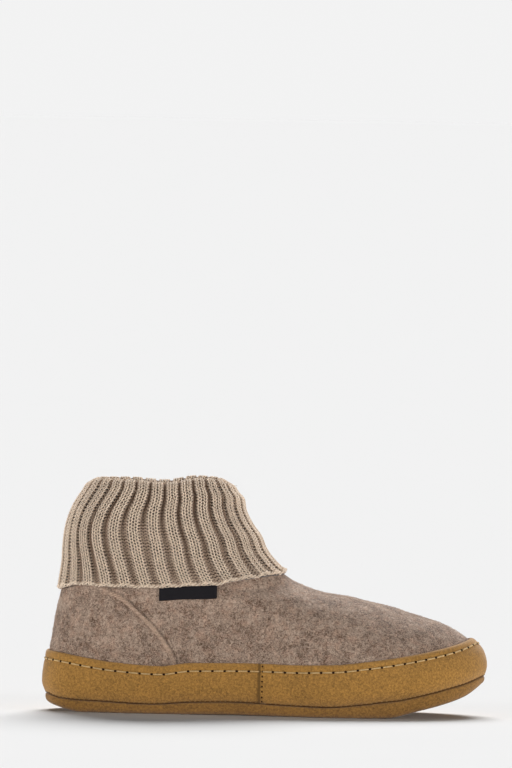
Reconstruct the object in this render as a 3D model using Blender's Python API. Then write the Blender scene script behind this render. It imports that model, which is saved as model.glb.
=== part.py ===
"""House slipper for the right foot: felt upper, suede rand and sole, turned-down ribbed knit cuff.

Metres, +Z up, +X to the toe, +Y to the inner side of the foot. The sole stands on the floor at Z 0,
and the finished slipper is centred on the origin in X and Y.

The last is one function, felt_point: a stack of levels between the sole and the collar. Each level is
an oval whose widths come from the foot's plan. Every other piece is laid against that function.
Angles go round the foot from the toe, over the inner side, to the heel and back on the outer side.
"""

import math
from collections import namedtuple

import bpy
from mathutils import Vector

# Driving sizes
LENGTH = 0.2657  # felt upper, heel to toe, outside
BALL_WIDTH = 0.100  # felt upper across the ball, outside
COLLAR_HEIGHT = 0.098  # top edge of the felt, inside the cuff
RAND_HEIGHT = 0.032  # top edge of the rand at the waist
HEM_HEIGHT = 0.0775  # lower edge of the turned-down cuff at the ankle
CUFF_HEIGHT = 0.1430  # highest point of the fold
TOE_SPRING = 0.0185  # lift of the underside at the tip of the toe
ARCH_LIFT = 0.003  # lift of the waist on the inner side
SOLE_THICKNESS = 0.007
INSOLE_THICKNESS = 0.004
FELT_THICKNESS = 0.003
RAND_THICKNESS = 0.0018
KNIT_THICKNESS = 0.004  # one layer of the knit where it lies on the felt
FOLD_THICKNESS = 0.0108  # both layers together above the felt
CLEARANCE = 0.0004  # between pieces that lie on each other
SEAT_CLEARANCE = 0.0005  # between the sole's curved top and what stands on it
SLOT_CLEARANCE = 0.0005  # on each side of the felt's collar inside the cuff

RIB_COUNT = 30
RIB_SHIFT = 0.42  # how far the first trough lies from the toe, as a share of a rib, on the outer side
RIB_DEPTH = 0.0021
HEM_RIB_DEPTH = 0.0009  # the ribs flatten where the hem is cast off
CUFF_LEAN = 0.0065  # how far the ribs sag to the back at half height
LEAN_MIDDLE = math.radians(232)  # the ribs that sag most, on the outer side near the heel
LEAN_SPREAD = math.radians(46)  # to each side of them
INNER_LEG_DROP = 0.009  # how far the inner layer reaches below the collar

SEAM_WIDTH = 0.0032  # raised seam between vamp and back part
SEAM_RELIEF = 0.0010
LAP_ALONG = 0.488  # place of the rand's lap join, as a share of the length
LAP_STEP = 0.0006  # how far the toe end of the rand stands over its heel end
LAP_GAP = 0.0008  # length of that step

SOLE_ROUNDING = 0.0038  # inset of the tread from the edge of the sole
RAND_EDGE_START = 0.94  # share of the rand's height at which its top edge starts to round over
RAND_EDGE_SHARE = 0.6  # share of the rand's thickness that is left at its top
HEM_TUCK = 0.8  # how far the hem's inner side hangs lower on a level slope, in knit thicknesses
TAB_START = 0.2565  # shares of the length
TAB_END = 0.3880
TAB_BACK_DROP = 0.0081  # how far the tab reaches below the hem at its two ends
TAB_FRONT_DROP = 0.0087
TAB_THICKNESS = 0.0008

# Tables: lengths are shares of the size named in each heading

# Plan of the foot, shares of BALL_WIDTH: the middle line and the reach to each side of it
Plan = namedtuple("Plan", "along middle outer inner")
PLAN = (
    Plan(0.00, 0.000, 0.350, 0.350),
    Plan(0.10, 0.000, 0.362, 0.358),
    Plan(0.25, 0.000, 0.367, 0.350),
    Plan(0.40, 0.000, 0.397, 0.337),
    Plan(0.50, 0.000, 0.440, 0.350),
    Plan(0.60, 0.003, 0.491, 0.392),
    Plan(0.68, 0.008, 0.526, 0.437),
    Plan(0.76, 0.016, 0.530, 0.467),
    Plan(0.84, 0.030, 0.506, 0.474),
    Plan(0.92, 0.048, 0.462, 0.452),
    Plan(1.00, 0.065, 0.418, 0.422),
)

# Levels of the felt from the sole, 0, to the collar, 1: ends as shares of LENGTH, width as a share
# of the plan, and how blunt the front and back of the oval are
Level = namedtuple("Level", "up back front width nose tail")
FELT_LEVELS = (
    Level(0.00, 0.007, 0.996, 0.950, 5.0, 6.5),
    Level(0.08, 0.000, 1.000, 1.000, 5.0, 6.5),
    Level(0.18, 0.002, 0.995, 1.000, 4.8, 6.5),
    Level(0.27, 0.006, 0.982, 0.995, 4.3, 6.3),
    Level(0.35, 0.009, 0.958, 0.985, 3.6, 6.0),
    Level(0.45, 0.013, 0.922, 0.970, 2.8, 5.5),
    Level(0.55, 0.019, 0.858, 0.955, 2.2, 5.0),
    Level(0.63, 0.025, 0.791, 0.945, 1.8, 4.5),
    Level(0.70, 0.029, 0.704, 0.945, 1.6, 4.0),
    Level(0.76, 0.034, 0.608, 0.950, 1.6, 3.6),
    Level(0.83, 0.041, 0.546, 0.965, 1.8, 3.2),
    Level(0.90, 0.046, 0.509, 0.980, 2.1, 2.8),
    Level(1.00, 0.049, 0.483, 1.000, 2.6, 2.4),
)

# Levels of the cuff's outside from the hem, 0, to the fold, 1, in the same columns
CUFF_LEVELS = (
    Level(0.00, 0.0225, 0.546, 0.970, 2.4, 3.4),
    Level(0.12, 0.0265, 0.521, 0.975, 2.4, 3.2),
    Level(0.25, 0.0310, 0.501, 0.985, 2.5, 3.0),
    Level(0.40, 0.0325, 0.488, 0.990, 2.6, 2.7),
    Level(0.55, 0.0365, 0.467, 0.975, 2.7, 2.6),
    Level(0.70, 0.0460, 0.452, 0.940, 2.8, 2.6),
    Level(0.85, 0.0640, 0.445, 0.900, 2.8, 2.6),
    Level(1.00, 0.0740, 0.436, 0.885, 2.8, 2.6),
)

# Sole: underside as a share of TOE_SPRING, thickness of SOLE_THICKNESS, inner lift of ARCH_LIFT
Sole = namedtuple("Sole", "along spring thick arch")
SOLE = (
    Sole(0.005, 0.240, 0.83, 0.0),
    Sole(0.026, 0.155, 0.79, 0.0),
    Sole(0.052, 0.060, 0.93, 0.0),
    Sole(0.080, 0.000, 1.02, 0.0),
    Sole(0.240, 0.000, 0.82, 0.0),
    Sole(0.340, 0.000, 1.05, 0.3),
    Sole(0.440, 0.000, 1.10, 1.0),
    Sole(0.545, 0.000, 0.96, 0.5),
    Sole(0.640, 0.000, 0.88, 0.0),
    Sole(0.735, 0.000, 1.20, 0.0),
    Sole(0.784, 0.020, 1.40, 0.0),
    Sole(0.845, 0.220, 1.26, 0.0),
    Sole(0.910, 0.455, 1.24, 0.0),
    Sole(0.958, 0.700, 1.09, 0.0),
    Sole(0.998, 1.070, 0.68, 0.0),
)

# Edge lines seen from the side, shares of the height named in the table
Edge = namedtuple("Edge", "along height")
RAND_TOP = (
    Edge(0.002, 1.147),
    Edge(0.033, 1.119),
    Edge(0.081, 1.056),
    Edge(0.156, 0.969),
    Edge(0.261, 0.915),
    Edge(0.333, 0.985),
    Edge(0.491, 1.003),
    Edge(0.566, 0.990),
    Edge(0.660, 1.009),
    Edge(0.732, 1.072),
    Edge(0.803, 1.150),
    Edge(0.878, 1.256),
    Edge(0.946, 1.390),
    Edge(0.976, 1.480),
)
HEM = (
    Edge(0.024, 0.957),
    Edge(0.065, 1.000),
    Edge(0.171, 0.991),
    Edge(0.250, 0.990),
    Edge(0.310, 1.008),
    Edge(0.382, 1.022),
    Edge(0.415, 1.046),
    Edge(0.468, 1.083),
    Edge(0.508, 1.108),
    Edge(0.546, 1.118),
)
FOLD_TOP = (
    Edge(0.070, 0.970),
    Edge(0.100, 0.989),
    Edge(0.182, 0.989),
    Edge(0.265, 0.980),
    Edge(0.344, 1.000),
    Edge(0.400, 0.995),
    Edge(0.437, 0.970),
)

# Raised seam: its place along the foot at each level of the felt
Seam = namedtuple("Seam", "up along")
SEAM = (
    Seam(0.00, 0.303),
    Seam(0.26, 0.293),
    Seam(0.40, 0.269),
    Seam(0.50, 0.242),
    Seam(0.60, 0.206),
    Seam(0.685, 0.171),
    Seam(0.74, 0.135),
    Seam(0.80, 0.112),
    Seam(0.90, 0.098),
    Seam(1.00, 0.094),
)

# The fold's round top from outside to inside: drop and depth as shares of FOLD_THICKNESS
Fold = namedtuple("Fold", "drop depth")
FOLD = (
    Fold(0.42, 0.08),
    Fold(0.12, 0.27),
    Fold(0.00, 0.52),
    Fold(0.09, 0.78),
    Fold(0.42, 0.96),
)

# Edge of the sole from the tread up: share of its thickness, and inset as a share of SOLE_ROUNDING
SOLE_PROFILE = ((0.0, 1.0), (0.18, 0.32), (0.5, 0.04), (1.0, 0.0))

# Rows and columns of the meshes
RAND_ROWS = (0.0, 0.25, 0.6, 1.0)  # from the sole to the rand's top edge
SIDE_ROWS = (0.25, 0.45, 0.62, 0.78, 0.90, 1.0)  # from there to the hem
COLLAR_ROWS = (0.0, 0.3, 0.6, 0.8, 1.0)  # from the hem to the collar
CUFF_ROWS = (0.0, 0.12, 0.25, 0.40, 0.55, 0.70, 0.85)  # the cuff's outside, hem to fold
CUFF_INNER_ROWS = (0.72, 0.48)  # its inside, above the felt
TOE_TO_LAP = 11  # steps between the marks on one side of the foot
LAP_TO_SEAM = 5
SEAM_TO_HEEL = 6
LAP_FRONT = TOE_TO_LAP
LAP_BACK = LAP_FRONT + 1
SEAM_FRONT = LAP_BACK + LAP_TO_SEAM
SEAM_RIDGE = SEAM_FRONT + 1
SEAM_BACK = SEAM_RIDGE + 1
HEEL = SEAM_BACK + SEAM_TO_HEEL
LAP_TOP_LEVEL = 0.3  # above this level the lap's columns keep their angle
FOOT_LEVEL = 0.08  # below this level the wall turns to stand square on the sole
SEAM_END = 0.0015  # the ridge ends this far under the hem
RIB_STEPS = ((0.0, 1.0), (0.27, 0.0), (0.73, 0.0))  # place within a rib, depth of the trough
TAB_COLUMNS = 5
TAB_ROWS = 2
COLUMNS = range(2 * HEEL)
SEAM_COLUMNS = (SEAM_RIDGE, 2 * HEEL - SEAM_RIDGE)
SEAM_RISES = range(len(RAND_ROWS), len(RAND_ROWS) + len(SIDE_ROWS))

# Steps at which slopes and levels are worked out
TURN = 0.02  # radians to each side of a place
CLIMB = 0.01  # share of the wall's height
LEVEL_ROUNDS = 12
LEVEL_PACE = 0.7  # share of the gap to the goal that each round takes
LOWEST_LEVEL = 0.02
HIGHEST_LEVEL = 0.99


def clear_scene():
    for thing in list(bpy.data.objects):
        bpy.data.objects.remove(thing, do_unlink=True)


def steepness(rows, index, column):
    """Slope of a column at one row, kept flat at a turning point."""
    if index == 0 or index == len(rows) - 1:
        other = 1 if index == 0 else index - 1
        return (rows[other][column] - rows[index][column]) / (rows[other][0] - rows[index][0])
    before = (rows[index][column] - rows[index - 1][column]) / (rows[index][0] - rows[index - 1][0])
    after = (rows[index + 1][column] - rows[index][column]) / (rows[index + 1][0] - rows[index][0])
    if before * after <= 0.0:
        return 0.0
    return 2.0 * before * after / (before + after)


def smooth(rows, at):
    """The table's row at any place, on a smooth curve through its rows."""
    index = 0
    while index < len(rows) - 2 and at > rows[index + 1][0]:
        index += 1
    span = rows[index + 1][0] - rows[index][0]
    t = min(1.0, max(0.0, (at - rows[index][0]) / span))
    values = [at]
    for column in range(1, len(rows[0])):
        start = rows[index][column]
        end = rows[index + 1][column]
        leave = steepness(rows, index, column) * span
        arrive = steepness(rows, index + 1, column) * span
        rise = t * t * (3.0 - 2.0 * t)
        curve = leave * t * (1.0 - t) ** 2 - arrive * t * t * (1.0 - t)
        values.append(start + (end - start) * rise + curve)
    return type(rows[0])(*values)


def share_along(x):
    return x / LENGTH + 0.5


def underside(x, y):
    """Height of the tread: spring at the toe, bevel at the heel, lifted arch on the inner side."""
    row = smooth(SOLE, share_along(x))
    return TOE_SPRING * row.spring + ARCH_LIFT * row.arch * (y / BALL_WIDTH + 0.5)


def sole_top(x, y):
    return underside(x, y) + SOLE_THICKNESS * smooth(SOLE, share_along(x)).thick


def seat(x, y):
    """Height at which felt, rand and insole stand on the sole."""
    return sole_top(x, y) + SEAT_CLEARANCE


def rand_top(x):
    return RAND_HEIGHT * smooth(RAND_TOP, share_along(x)).height


def hem_height(x):
    return HEM_HEIGHT * smooth(HEM, share_along(x)).height


def fold_height(x):
    return CUFF_HEIGHT * smooth(FOLD_TOP, share_along(x)).height


def oval(level, angle, spread=0.0):
    """Point of a level's outline in plan, each side spread by a length."""
    swing = math.cos(angle)
    along = (level.front + level.back) / 2 + (level.front - level.back) / 2 * swing
    plan = smooth(PLAN, along)
    blunt = level.nose if swing > 0.0 else level.tail
    bow = math.sqrt(max(0.0, 1.0 - abs(swing) ** blunt))
    inner = math.sin(angle) >= 0.0
    reach = BALL_WIDTH * (plan.inner if inner else plan.outer) * level.width + spread
    return LENGTH * (along - 0.5), BALL_WIDTH * plan.middle + (reach if inner else -reach) * bow


def felt_point(angle, up):
    """Point of the felt's outside at a share of the wall's height."""
    x, y = oval(smooth(FELT_LEVELS, up), angle)
    foot = seat(x, y)
    return Vector((x, y, foot + up * (COLLAR_HEIGHT - foot)))


def felt_normal(angle, up):
    """Outward direction of the felt, turned level at its foot so that it stands flat on the sole."""
    round_it = felt_point(angle + TURN, up) - felt_point(angle - TURN, up)
    up_it = felt_point(angle, min(1.0, up + CLIMB)) - felt_point(angle, max(0.0, up - CLIMB))
    normal = round_it.cross(up_it).normalized()
    normal.z *= min(1.0, up / FOOT_LEVEL)
    return normal.normalized()


def felt_surface(angle, up, out):
    """Point at a distance outside the felt, or inside it where the distance is negative."""
    start = felt_point(angle, up)
    point = start + felt_normal(angle, up) * out
    on_sole = max(0.0, 1.0 - up / FOOT_LEVEL)
    point.z += (seat(point.x, point.y) - seat(start.x, start.y)) * on_sole
    return point


def angle_at(along, up):
    """Angle, on the inner side, of a share of the length."""
    level = smooth(FELT_LEVELS, up)
    middle = (level.front + level.back) / 2
    reach = (level.front - level.back) / 2
    return math.acos(min(1.0, max(-1.0, (along - middle) / reach)))


def even(start, end, steps):
    return [start + (end - start) * step / steps for step in range(steps)]


def side_angles(up):
    """Angles from toe to heel: columns follow the lap join and the seam, and are even between."""
    lap_level = min(up, LAP_TOP_LEVEL)
    half_gap = LAP_GAP / 2 / LENGTH
    lap_front = angle_at(LAP_ALONG + half_gap, lap_level)
    lap_back = angle_at(LAP_ALONG - half_gap, lap_level)
    path = smooth(SEAM, up).along
    drift = (smooth(SEAM, up + CLIMB).along - smooth(SEAM, up - CLIMB).along) * LENGTH
    slant = math.hypot(1.0, drift / (2 * CLIMB * COLLAR_HEIGHT))
    half_width = SEAM_WIDTH / 2 / LENGTH * slant
    seam_front = angle_at(path + half_width, up)
    seam_back = angle_at(path - half_width, up)
    angles = even(0.0, lap_front, TOE_TO_LAP) + [lap_front]
    angles += even(lap_back, seam_front, LAP_TO_SEAM)
    angles += [seam_front, angle_at(path, up)]
    angles += even(seam_back, math.pi, SEAM_TO_HEEL) + [math.pi]
    return angles


def column_angle(column, up):
    """Angle of a mesh column, counted round the whole foot from the toe."""
    if column <= HEEL:
        return side_angles(up)[column]
    return 2 * math.pi - side_angles(up)[2 * HEEL - column]


def level_where(angle_of, height_of):
    """Level at which a column of the felt reaches a line drawn round the slipper."""
    up = 0.5
    for _ in range(LEVEL_ROUNDS):
        angle = angle_of(up)
        x, y, _ = felt_point(angle, up)
        foot = seat(x, y)
        goal = (height_of(angle, up, x) - foot) / (COLLAR_HEIGHT - foot)
        up += LEVEL_PACE * (min(HIGHEST_LEVEL, max(LOWEST_LEVEL, goal)) - up)
    return up


def rand_line(angle, up, x):
    return rand_top(x)


def hem_line(angle, up, x):
    """Height at which the hem touches the felt, below its outer edge where the felt slopes."""
    return hem_height(x) - KNIT_THICKNESS * HEM_TUCK * max(0.0, felt_normal(angle, up).z)


def column_levels(column):
    """Levels of one column's rows: rand, side and collar."""
    def angle_of(up):
        return column_angle(column, up)

    rand = level_where(angle_of, rand_line)
    hem = level_where(angle_of, hem_line)
    below = hem - SEAM_END / COLLAR_HEIGHT
    levels = [rand * share for share in RAND_ROWS]
    levels += [rand + (below - rand) * share for share in SIDE_ROWS]
    levels += [hem + (1.0 - hem) * share for share in COLLAR_ROWS]
    return levels


def add_solid(name, points, faces, material):
    mesh = bpy.data.meshes.new(name)
    mesh.from_pydata([tuple(point) for point in points], [], faces)
    mesh.materials.append(material)
    mesh.shade_smooth()
    mesh.set_sharp_from_angle(angle=math.radians(50))
    solid = bpy.data.objects.new(name, mesh)
    bpy.context.scene.collection.objects.link(solid)
    return solid


def rings_to_faces(rings, closed):
    """Quads between rings of equal count; a closed stack joins its last ring to its first."""
    count = len(rings[0])
    faces = []
    for ring in range(len(rings) if closed else len(rings) - 1):
        lower = ring * count
        upper = (ring + 1) % len(rings) * count
        for column in range(count):
            following = (column + 1) % count
            faces.append((lower + column, lower + following, upper + following, upper + column))
    return faces


def hollow_ring(name, rings, material):
    """Solid with the shape of a sleeve: rings run up its outside and down its inside."""
    points = [point for ring in rings for point in ring]
    return add_solid(name, points, rings_to_faces(rings, closed=True), material)


def plate(name, rings, material):
    """Solid with rings from its underside to its top, both closed by strips across the foot."""
    points = [point for ring in rings for point in ring]
    faces = rings_to_faces(rings, closed=False)
    top = (len(rings) - 1) * len(rings[0])
    for near in range(HEEL):
        far = 2 * HEEL - near
        strip = [near, near + 1]
        if far - 1 != near + 1:
            strip.append(far - 1)
        if near > 0:
            strip.append(far)
        faces.append(tuple(reversed(strip)))
        faces.append(tuple(top + corner for corner in strip))
    return add_solid(name, points, faces, material)


def finish(name, color, roughness):
    """Plain matt material of one piece."""
    material = bpy.data.materials.new(name)
    material.use_nodes = True
    shader = material.node_tree.nodes["Principled BSDF"]
    shader.inputs["Base Color"].default_value = (*color, 1.0)
    shader.inputs["Roughness"].default_value = roughness
    shader.inputs["Metallic"].default_value = 0.0
    material.diffuse_color = (*color, 1.0)
    return material


def make_upper():
    """Felt wall: outside rows with the raised seam, then the same rows inside."""
    outside = []
    inside = []
    levels = [column_levels(column) for column in COLUMNS]
    for row in range(len(levels[0])):
        outer_ring = []
        inner_ring = []
        for column in COLUMNS:
            up = levels[column][row]
            angle = column_angle(column, up)
            raised = column in SEAM_COLUMNS and row in SEAM_RISES
            outer_ring.append(felt_surface(angle, up, SEAM_RELIEF if raised else 0.0))
            inner_ring.append(felt_surface(angle, up, -FELT_THICKNESS))
        outside.append(outer_ring)
        inside.append(inner_ring)
    return hollow_ring("upper", outside + inside[::-1], finish("wool felt", (0.27, 0.19, 0.14), 0.95))


def make_rand():
    """Suede band on the felt, with a rounded top edge and the step of its lap join."""
    lean_in = CLEARANCE + RAND_THICKNESS
    section = [(share, lean_in) for share in RAND_ROWS[:-1]]
    section += [(RAND_EDGE_START, lean_in), (1.0, CLEARANCE + RAND_THICKNESS * RAND_EDGE_SHARE)]
    section += [(share, CLEARANCE) for share in RAND_ROWS[::-1]]
    step_column = 2 * HEEL - LAP_FRONT
    rings = [[] for _ in section]
    for column in COLUMNS:
        top = column_levels(column)[len(RAND_ROWS) - 1]
        for ring, (share, out) in zip(rings, section):
            up = top * share
            step = LAP_STEP if column == step_column and out > CLEARANCE else 0.0
            ring.append(felt_surface(column_angle(column, up), up, out + step))
    return hollow_ring("rand", rings, finish("suede rand", (0.29, 0.15, 0.045), 0.9))


def make_outsole():
    """Suede sole: its edge follows the foot of the rand and rounds under to the tread."""
    rings = []
    for height, inset in SOLE_PROFILE:
        ring = []
        for column in COLUMNS:
            out = CLEARANCE + RAND_THICKNESS - SOLE_ROUNDING * inset
            x, y, _ = felt_surface(column_angle(column, 0.0), 0.0, out)
            bottom = underside(x, y)
            ring.append(Vector((x, y, bottom + (sole_top(x, y) - bottom) * height)))
        rings.append(ring)
    return plate("outsole", rings, finish("suede sole", (0.17, 0.085, 0.025), 0.9))


def make_insole():
    """Felt footbed inside the foot of the wall."""
    rings = []
    for height in (0.0, INSOLE_THICKNESS):
        ring = []
        for column in COLUMNS:
            out = -FELT_THICKNESS - CLEARANCE
            x, y, _ = felt_surface(column_angle(column, 0.0), 0.0, out)
            ring.append(Vector((x, y, seat(x, y) + height)))
        rings.append(ring)
    return plate("insole", rings, finish("felt footbed", (0.36, 0.28, 0.21), 0.95))


def even_angles(count, start):
    """Angles that cut the cuff's half-height outline into equal lengths, from a share of one on."""
    samples = 720
    level = smooth(CUFF_LEVELS, 0.5)
    angles = [2 * math.pi * sample / samples for sample in range(samples + 1)]
    places = [Vector(oval(level, angle, KNIT_THICKNESS)) for angle in angles]
    lengths = [0.0]
    for before, after in zip(places, places[1:]):
        lengths.append(lengths[-1] + (after - before).length)
    result = []
    sample = 0
    for step in range(count):
        goal = lengths[-1] * (step + start) / count
        while lengths[sample + 1] < goal:
            sample += 1
        part = (goal - lengths[sample]) / (lengths[sample + 1] - lengths[sample])
        result.append(angles[sample] + (angles[sample + 1] - angles[sample]) * part)
    return result


def leaned(angle, rise):
    """Angle of a rib at a height: on the outer side the back ribs sag towards the heel."""
    near = max(0.0, 1.0 - ((angle - LEAN_MIDDLE) / LEAN_SPREAD) ** 2)
    bow = math.sin(math.pi * min(1.0, max(0.0, rise))) ** 2
    level = smooth(CUFF_LEVELS, 0.5)
    half_length = LENGTH * (level.front - level.back) / 2
    return angle - CUFF_LEAN / half_length * near * near * bow


def cuff_point(angle, rise, depth, drop=0.0):
    """Point of the cuff at a depth under its outside, from the hem, 0, to the fold, 1."""
    leaning = leaned(angle, rise)
    level = smooth(CUFF_LEVELS, rise)
    place = Vector(oval(level, leaning, KNIT_THICKNESS))
    ahead = Vector(oval(level, leaning + TURN, KNIT_THICKNESS))
    behind = Vector(oval(level, leaning - TURN, KNIT_THICKNESS))
    along = (ahead - behind).normalized()
    place -= Vector((along.y, -along.x)) * depth
    low = hem_height(oval(CUFF_LEVELS[0], angle, KNIT_THICKNESS)[0])
    high = fold_height(oval(CUFF_LEVELS[-1], angle, KNIT_THICKNESS)[0])
    return Vector((*place, low + (high - low) * rise - drop))


def make_knit_cuff():
    """Folded knit: ribbed outside and inside, and a plain slot that takes the felt's collar."""
    starts = even_angles(RIB_COUNT, 1.0 - RIB_SHIFT)
    starts.append(starts[0] + 2 * math.pi)
    inner_bottom = 1.0 - INNER_LEG_DROP / COLLAR_HEIGHT
    rings = None
    for rib in range(RIB_COUNT):
        for place, trough in RIB_STEPS:
            angle = starts[rib] + (starts[rib + 1] - starts[rib]) * place
            section = []
            for rise in CUFF_ROWS:
                relief = HEM_RIB_DEPTH if rise == 0.0 else RIB_DEPTH
                section.append(cuff_point(angle, rise, relief * trough))
            for row in FOLD:
                depth = FOLD_THICKNESS * row.depth + RIB_DEPTH * trough * (1.0 - row.depth)
                drop = FOLD_THICKNESS * row.drop + RIB_DEPTH * trough * 0.5
                section.append(cuff_point(angle, 1.0, depth, drop))
            for rise in CUFF_INNER_ROWS:
                section.append(cuff_point(angle, rise, FOLD_THICKNESS - HEM_RIB_DEPTH * trough))

            inner_face = -FELT_THICKNESS - SLOT_CLEARANCE
            section.append(felt_surface(angle, 1.0, inner_face - KNIT_THICKNESS))
            section.append(felt_surface(angle, inner_bottom, inner_face - KNIT_THICKNESS))
            section.append(felt_surface(angle, inner_bottom, inner_face))
            roof = Vector((0.0, 0.0, SLOT_CLEARANCE))
            section.append(felt_surface(angle, 1.0, inner_face) + roof)
            section.append(felt_surface(angle, 1.0, SLOT_CLEARANCE) + roof)
            hem = level_where(lambda up: angle, hem_line)
            for share in COLLAR_ROWS[-2::-1]:
                section.append(felt_surface(angle, hem + (1.0 - hem) * share, SLOT_CLEARANCE))

            if rings is None:
                rings = [[] for _ in section]
            for ring, point in zip(rings, section):
                ring.append(point)
    return hollow_ring("knit_cuff", rings, finish("ribbed knit", (0.36, 0.28, 0.21), 0.95))


def make_woven_tab():
    """Small bare tab on the outer side, flat on the felt, from under the hem."""
    outside = []
    inside = []
    for row in range(TAB_ROWS + 1):
        for column in range(TAB_COLUMNS + 1):
            share = column / TAB_COLUMNS
            along = TAB_START + (TAB_END - TAB_START) * share
            x = LENGTH * (along - 0.5)
            bottom = hem_height(x) - TAB_BACK_DROP - (TAB_FRONT_DROP - TAB_BACK_DROP) * share
            top = hem_height(x) - CLEARANCE * 2
            height = bottom + (top - bottom) * row / TAB_ROWS
            foot = seat(x, -BALL_WIDTH / 3)
            up = (height - foot) / (COLLAR_HEIGHT - foot)
            angle = 2 * math.pi - angle_at(along, up)
            outside.append(felt_surface(angle, up, CLEARANCE + TAB_THICKNESS))
            inside.append(felt_surface(angle, up, CLEARANCE))
    wide = TAB_COLUMNS + 1
    back = len(outside)
    faces = []
    for row in range(TAB_ROWS):
        for column in range(TAB_COLUMNS):
            corner = row * wide + column
            quad = (corner, corner + 1, corner + wide + 1, corner + wide)
            faces.append(quad)
            faces.append(tuple(back + place for place in reversed(quad)))
    rim = list(range(wide))
    rim += [row * wide + wide - 1 for row in range(1, TAB_ROWS + 1)]
    rim += [TAB_ROWS * wide + column for column in range(wide - 2, -1, -1)]
    rim += [row * wide for row in range(TAB_ROWS - 1, 0, -1)]
    for place, following in zip(rim, rim[1:] + rim[:1]):
        faces.append((following, place, back + place, back + following))
    return add_solid("woven_tab", outside + inside, faces, finish("woven tab", (0.02, 0.02, 0.022), 0.7))


def centre(solids):
    """Move all meshes together so that the slipper's box is centred over the origin."""
    places = [vertex.co for solid in solids for vertex in solid.data.vertices]
    middle_x = (min(place.x for place in places) + max(place.x for place in places)) / 2
    middle_y = (min(place.y for place in places) + max(place.y for place in places)) / 2
    for solid in solids:
        for vertex in solid.data.vertices:
            vertex.co.x -= middle_x
            vertex.co.y -= middle_y


def main():
    clear_scene()
    solids = [make_outsole(), make_insole(), make_upper(), make_rand(), make_knit_cuff(), make_woven_tab()]
    centre(solids)


main()
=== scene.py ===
"""Looks of a felt house slipper with a suede sole and a turned-down knit cuff.

Every piece is laid out from the slipper's own last, felt_point, and from the section of its cuff,
in metres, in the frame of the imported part: +X to the toe, +Y to the inner side, +Z up.
Angles go round the foot from the toe, over the inner side, to the heel and back on the outer side.
Places may be numpy arrays, so that one call works out a whole row of a mesh.
"""

import math
from collections import namedtuple

import bpy
import numpy as np
from mathutils import Matrix, Vector


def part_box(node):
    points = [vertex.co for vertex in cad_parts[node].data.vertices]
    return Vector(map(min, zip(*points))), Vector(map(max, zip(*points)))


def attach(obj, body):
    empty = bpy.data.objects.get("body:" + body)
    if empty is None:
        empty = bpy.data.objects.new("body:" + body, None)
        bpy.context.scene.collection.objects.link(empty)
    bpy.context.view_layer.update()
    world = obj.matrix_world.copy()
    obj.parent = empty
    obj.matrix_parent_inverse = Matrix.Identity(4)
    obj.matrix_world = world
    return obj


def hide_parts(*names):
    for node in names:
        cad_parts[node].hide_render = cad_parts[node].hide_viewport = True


bl_info = {
    "name": "Felt House Slipper",
    "version": (1, 0, 0),
    "blender": (4, 5, 0),
    "location": "3D View > Sidebar > Slipper",
    "description": "Builds the finish of a felt house slipper around its packed part",
    "category": "Object",
}

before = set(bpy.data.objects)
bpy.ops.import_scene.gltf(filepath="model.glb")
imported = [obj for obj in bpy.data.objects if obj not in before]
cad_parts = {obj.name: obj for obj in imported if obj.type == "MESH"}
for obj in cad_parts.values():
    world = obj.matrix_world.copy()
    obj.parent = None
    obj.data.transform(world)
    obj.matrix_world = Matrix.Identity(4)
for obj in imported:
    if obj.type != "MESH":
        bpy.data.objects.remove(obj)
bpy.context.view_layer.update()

# Sizes of the part: lengths in metres, with its counts and shares
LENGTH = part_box("upper")[1].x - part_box("upper")[0].x
BALL_WIDTH = 0.100
COLLAR_HEIGHT = 0.098
RAND_HEIGHT = 0.032
HEM_HEIGHT = 0.0775
CUFF_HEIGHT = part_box("knit_cuff")[1].z
TOE_SPRING = 0.0185
ARCH_LIFT = 0.003
SOLE_THICKNESS = 0.007
INSOLE_THICKNESS = 0.004
FELT_THICKNESS = 0.003
RAND_THICKNESS = 0.0018
KNIT_THICKNESS = 0.004
FOLD_THICKNESS = 0.0108
CLEARANCE = 0.0004
SEAT_CLEARANCE = 0.0005
SLOT_CLEARANCE = 0.0005
RIB_COUNT = 30
RIB_SHIFT = 0.42  # share of a rib
CUFF_LEAN = 0.0065
LEAN_MIDDLE = math.radians(232)
LEAN_SPREAD = math.radians(46)
INNER_LEG_DROP = 0.009
SEAM_WIDTH = 0.0034
SEAM_RELIEF = 0.0011
LAP_ALONG = 0.488  # share of the length
LAP_STEP = 0.0007
SOLE_ROUNDING = 0.0038
TAB_START = 0.2565  # shares of the length
TAB_END = 0.3880
TAB_BACK_DROP = 0.0081
TAB_FRONT_DROP = 0.0087
TAB_THICKNESS = 0.0008
HEM_TUCK = 0.8  # in knit thicknesses
FOOT_LEVEL = 0.08  # shares of the wall's height
LAP_TOP_LEVEL = 0.3
CUFF_ROWS = (0.0, 0.12, 0.25, 0.40, 0.55, 0.70, 0.85)  # shares of the cuff's height
CUFF_INNER_ROWS = (0.72, 0.48)

# Steps from one place to the next for a direction, and how a level is found
TURN = 0.02  # radians
CLIMB = 0.01  # share of the wall's height
LEVEL_ROUNDS = 14
LEVEL_PACE = 0.7  # share of the gap that each round takes
LOWEST_LEVEL = 0.02
HIGHEST_LEVEL = 0.99

# How finely the meshes are cut round the foot
FOOT_COLUMNS = 640
SOLE_COLUMNS = 400
FOOTBED_COLUMNS = 200
LINE_COLUMNS = 720
SIDE_ROWS = 74  # rows of the felt between rand and hem

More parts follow.
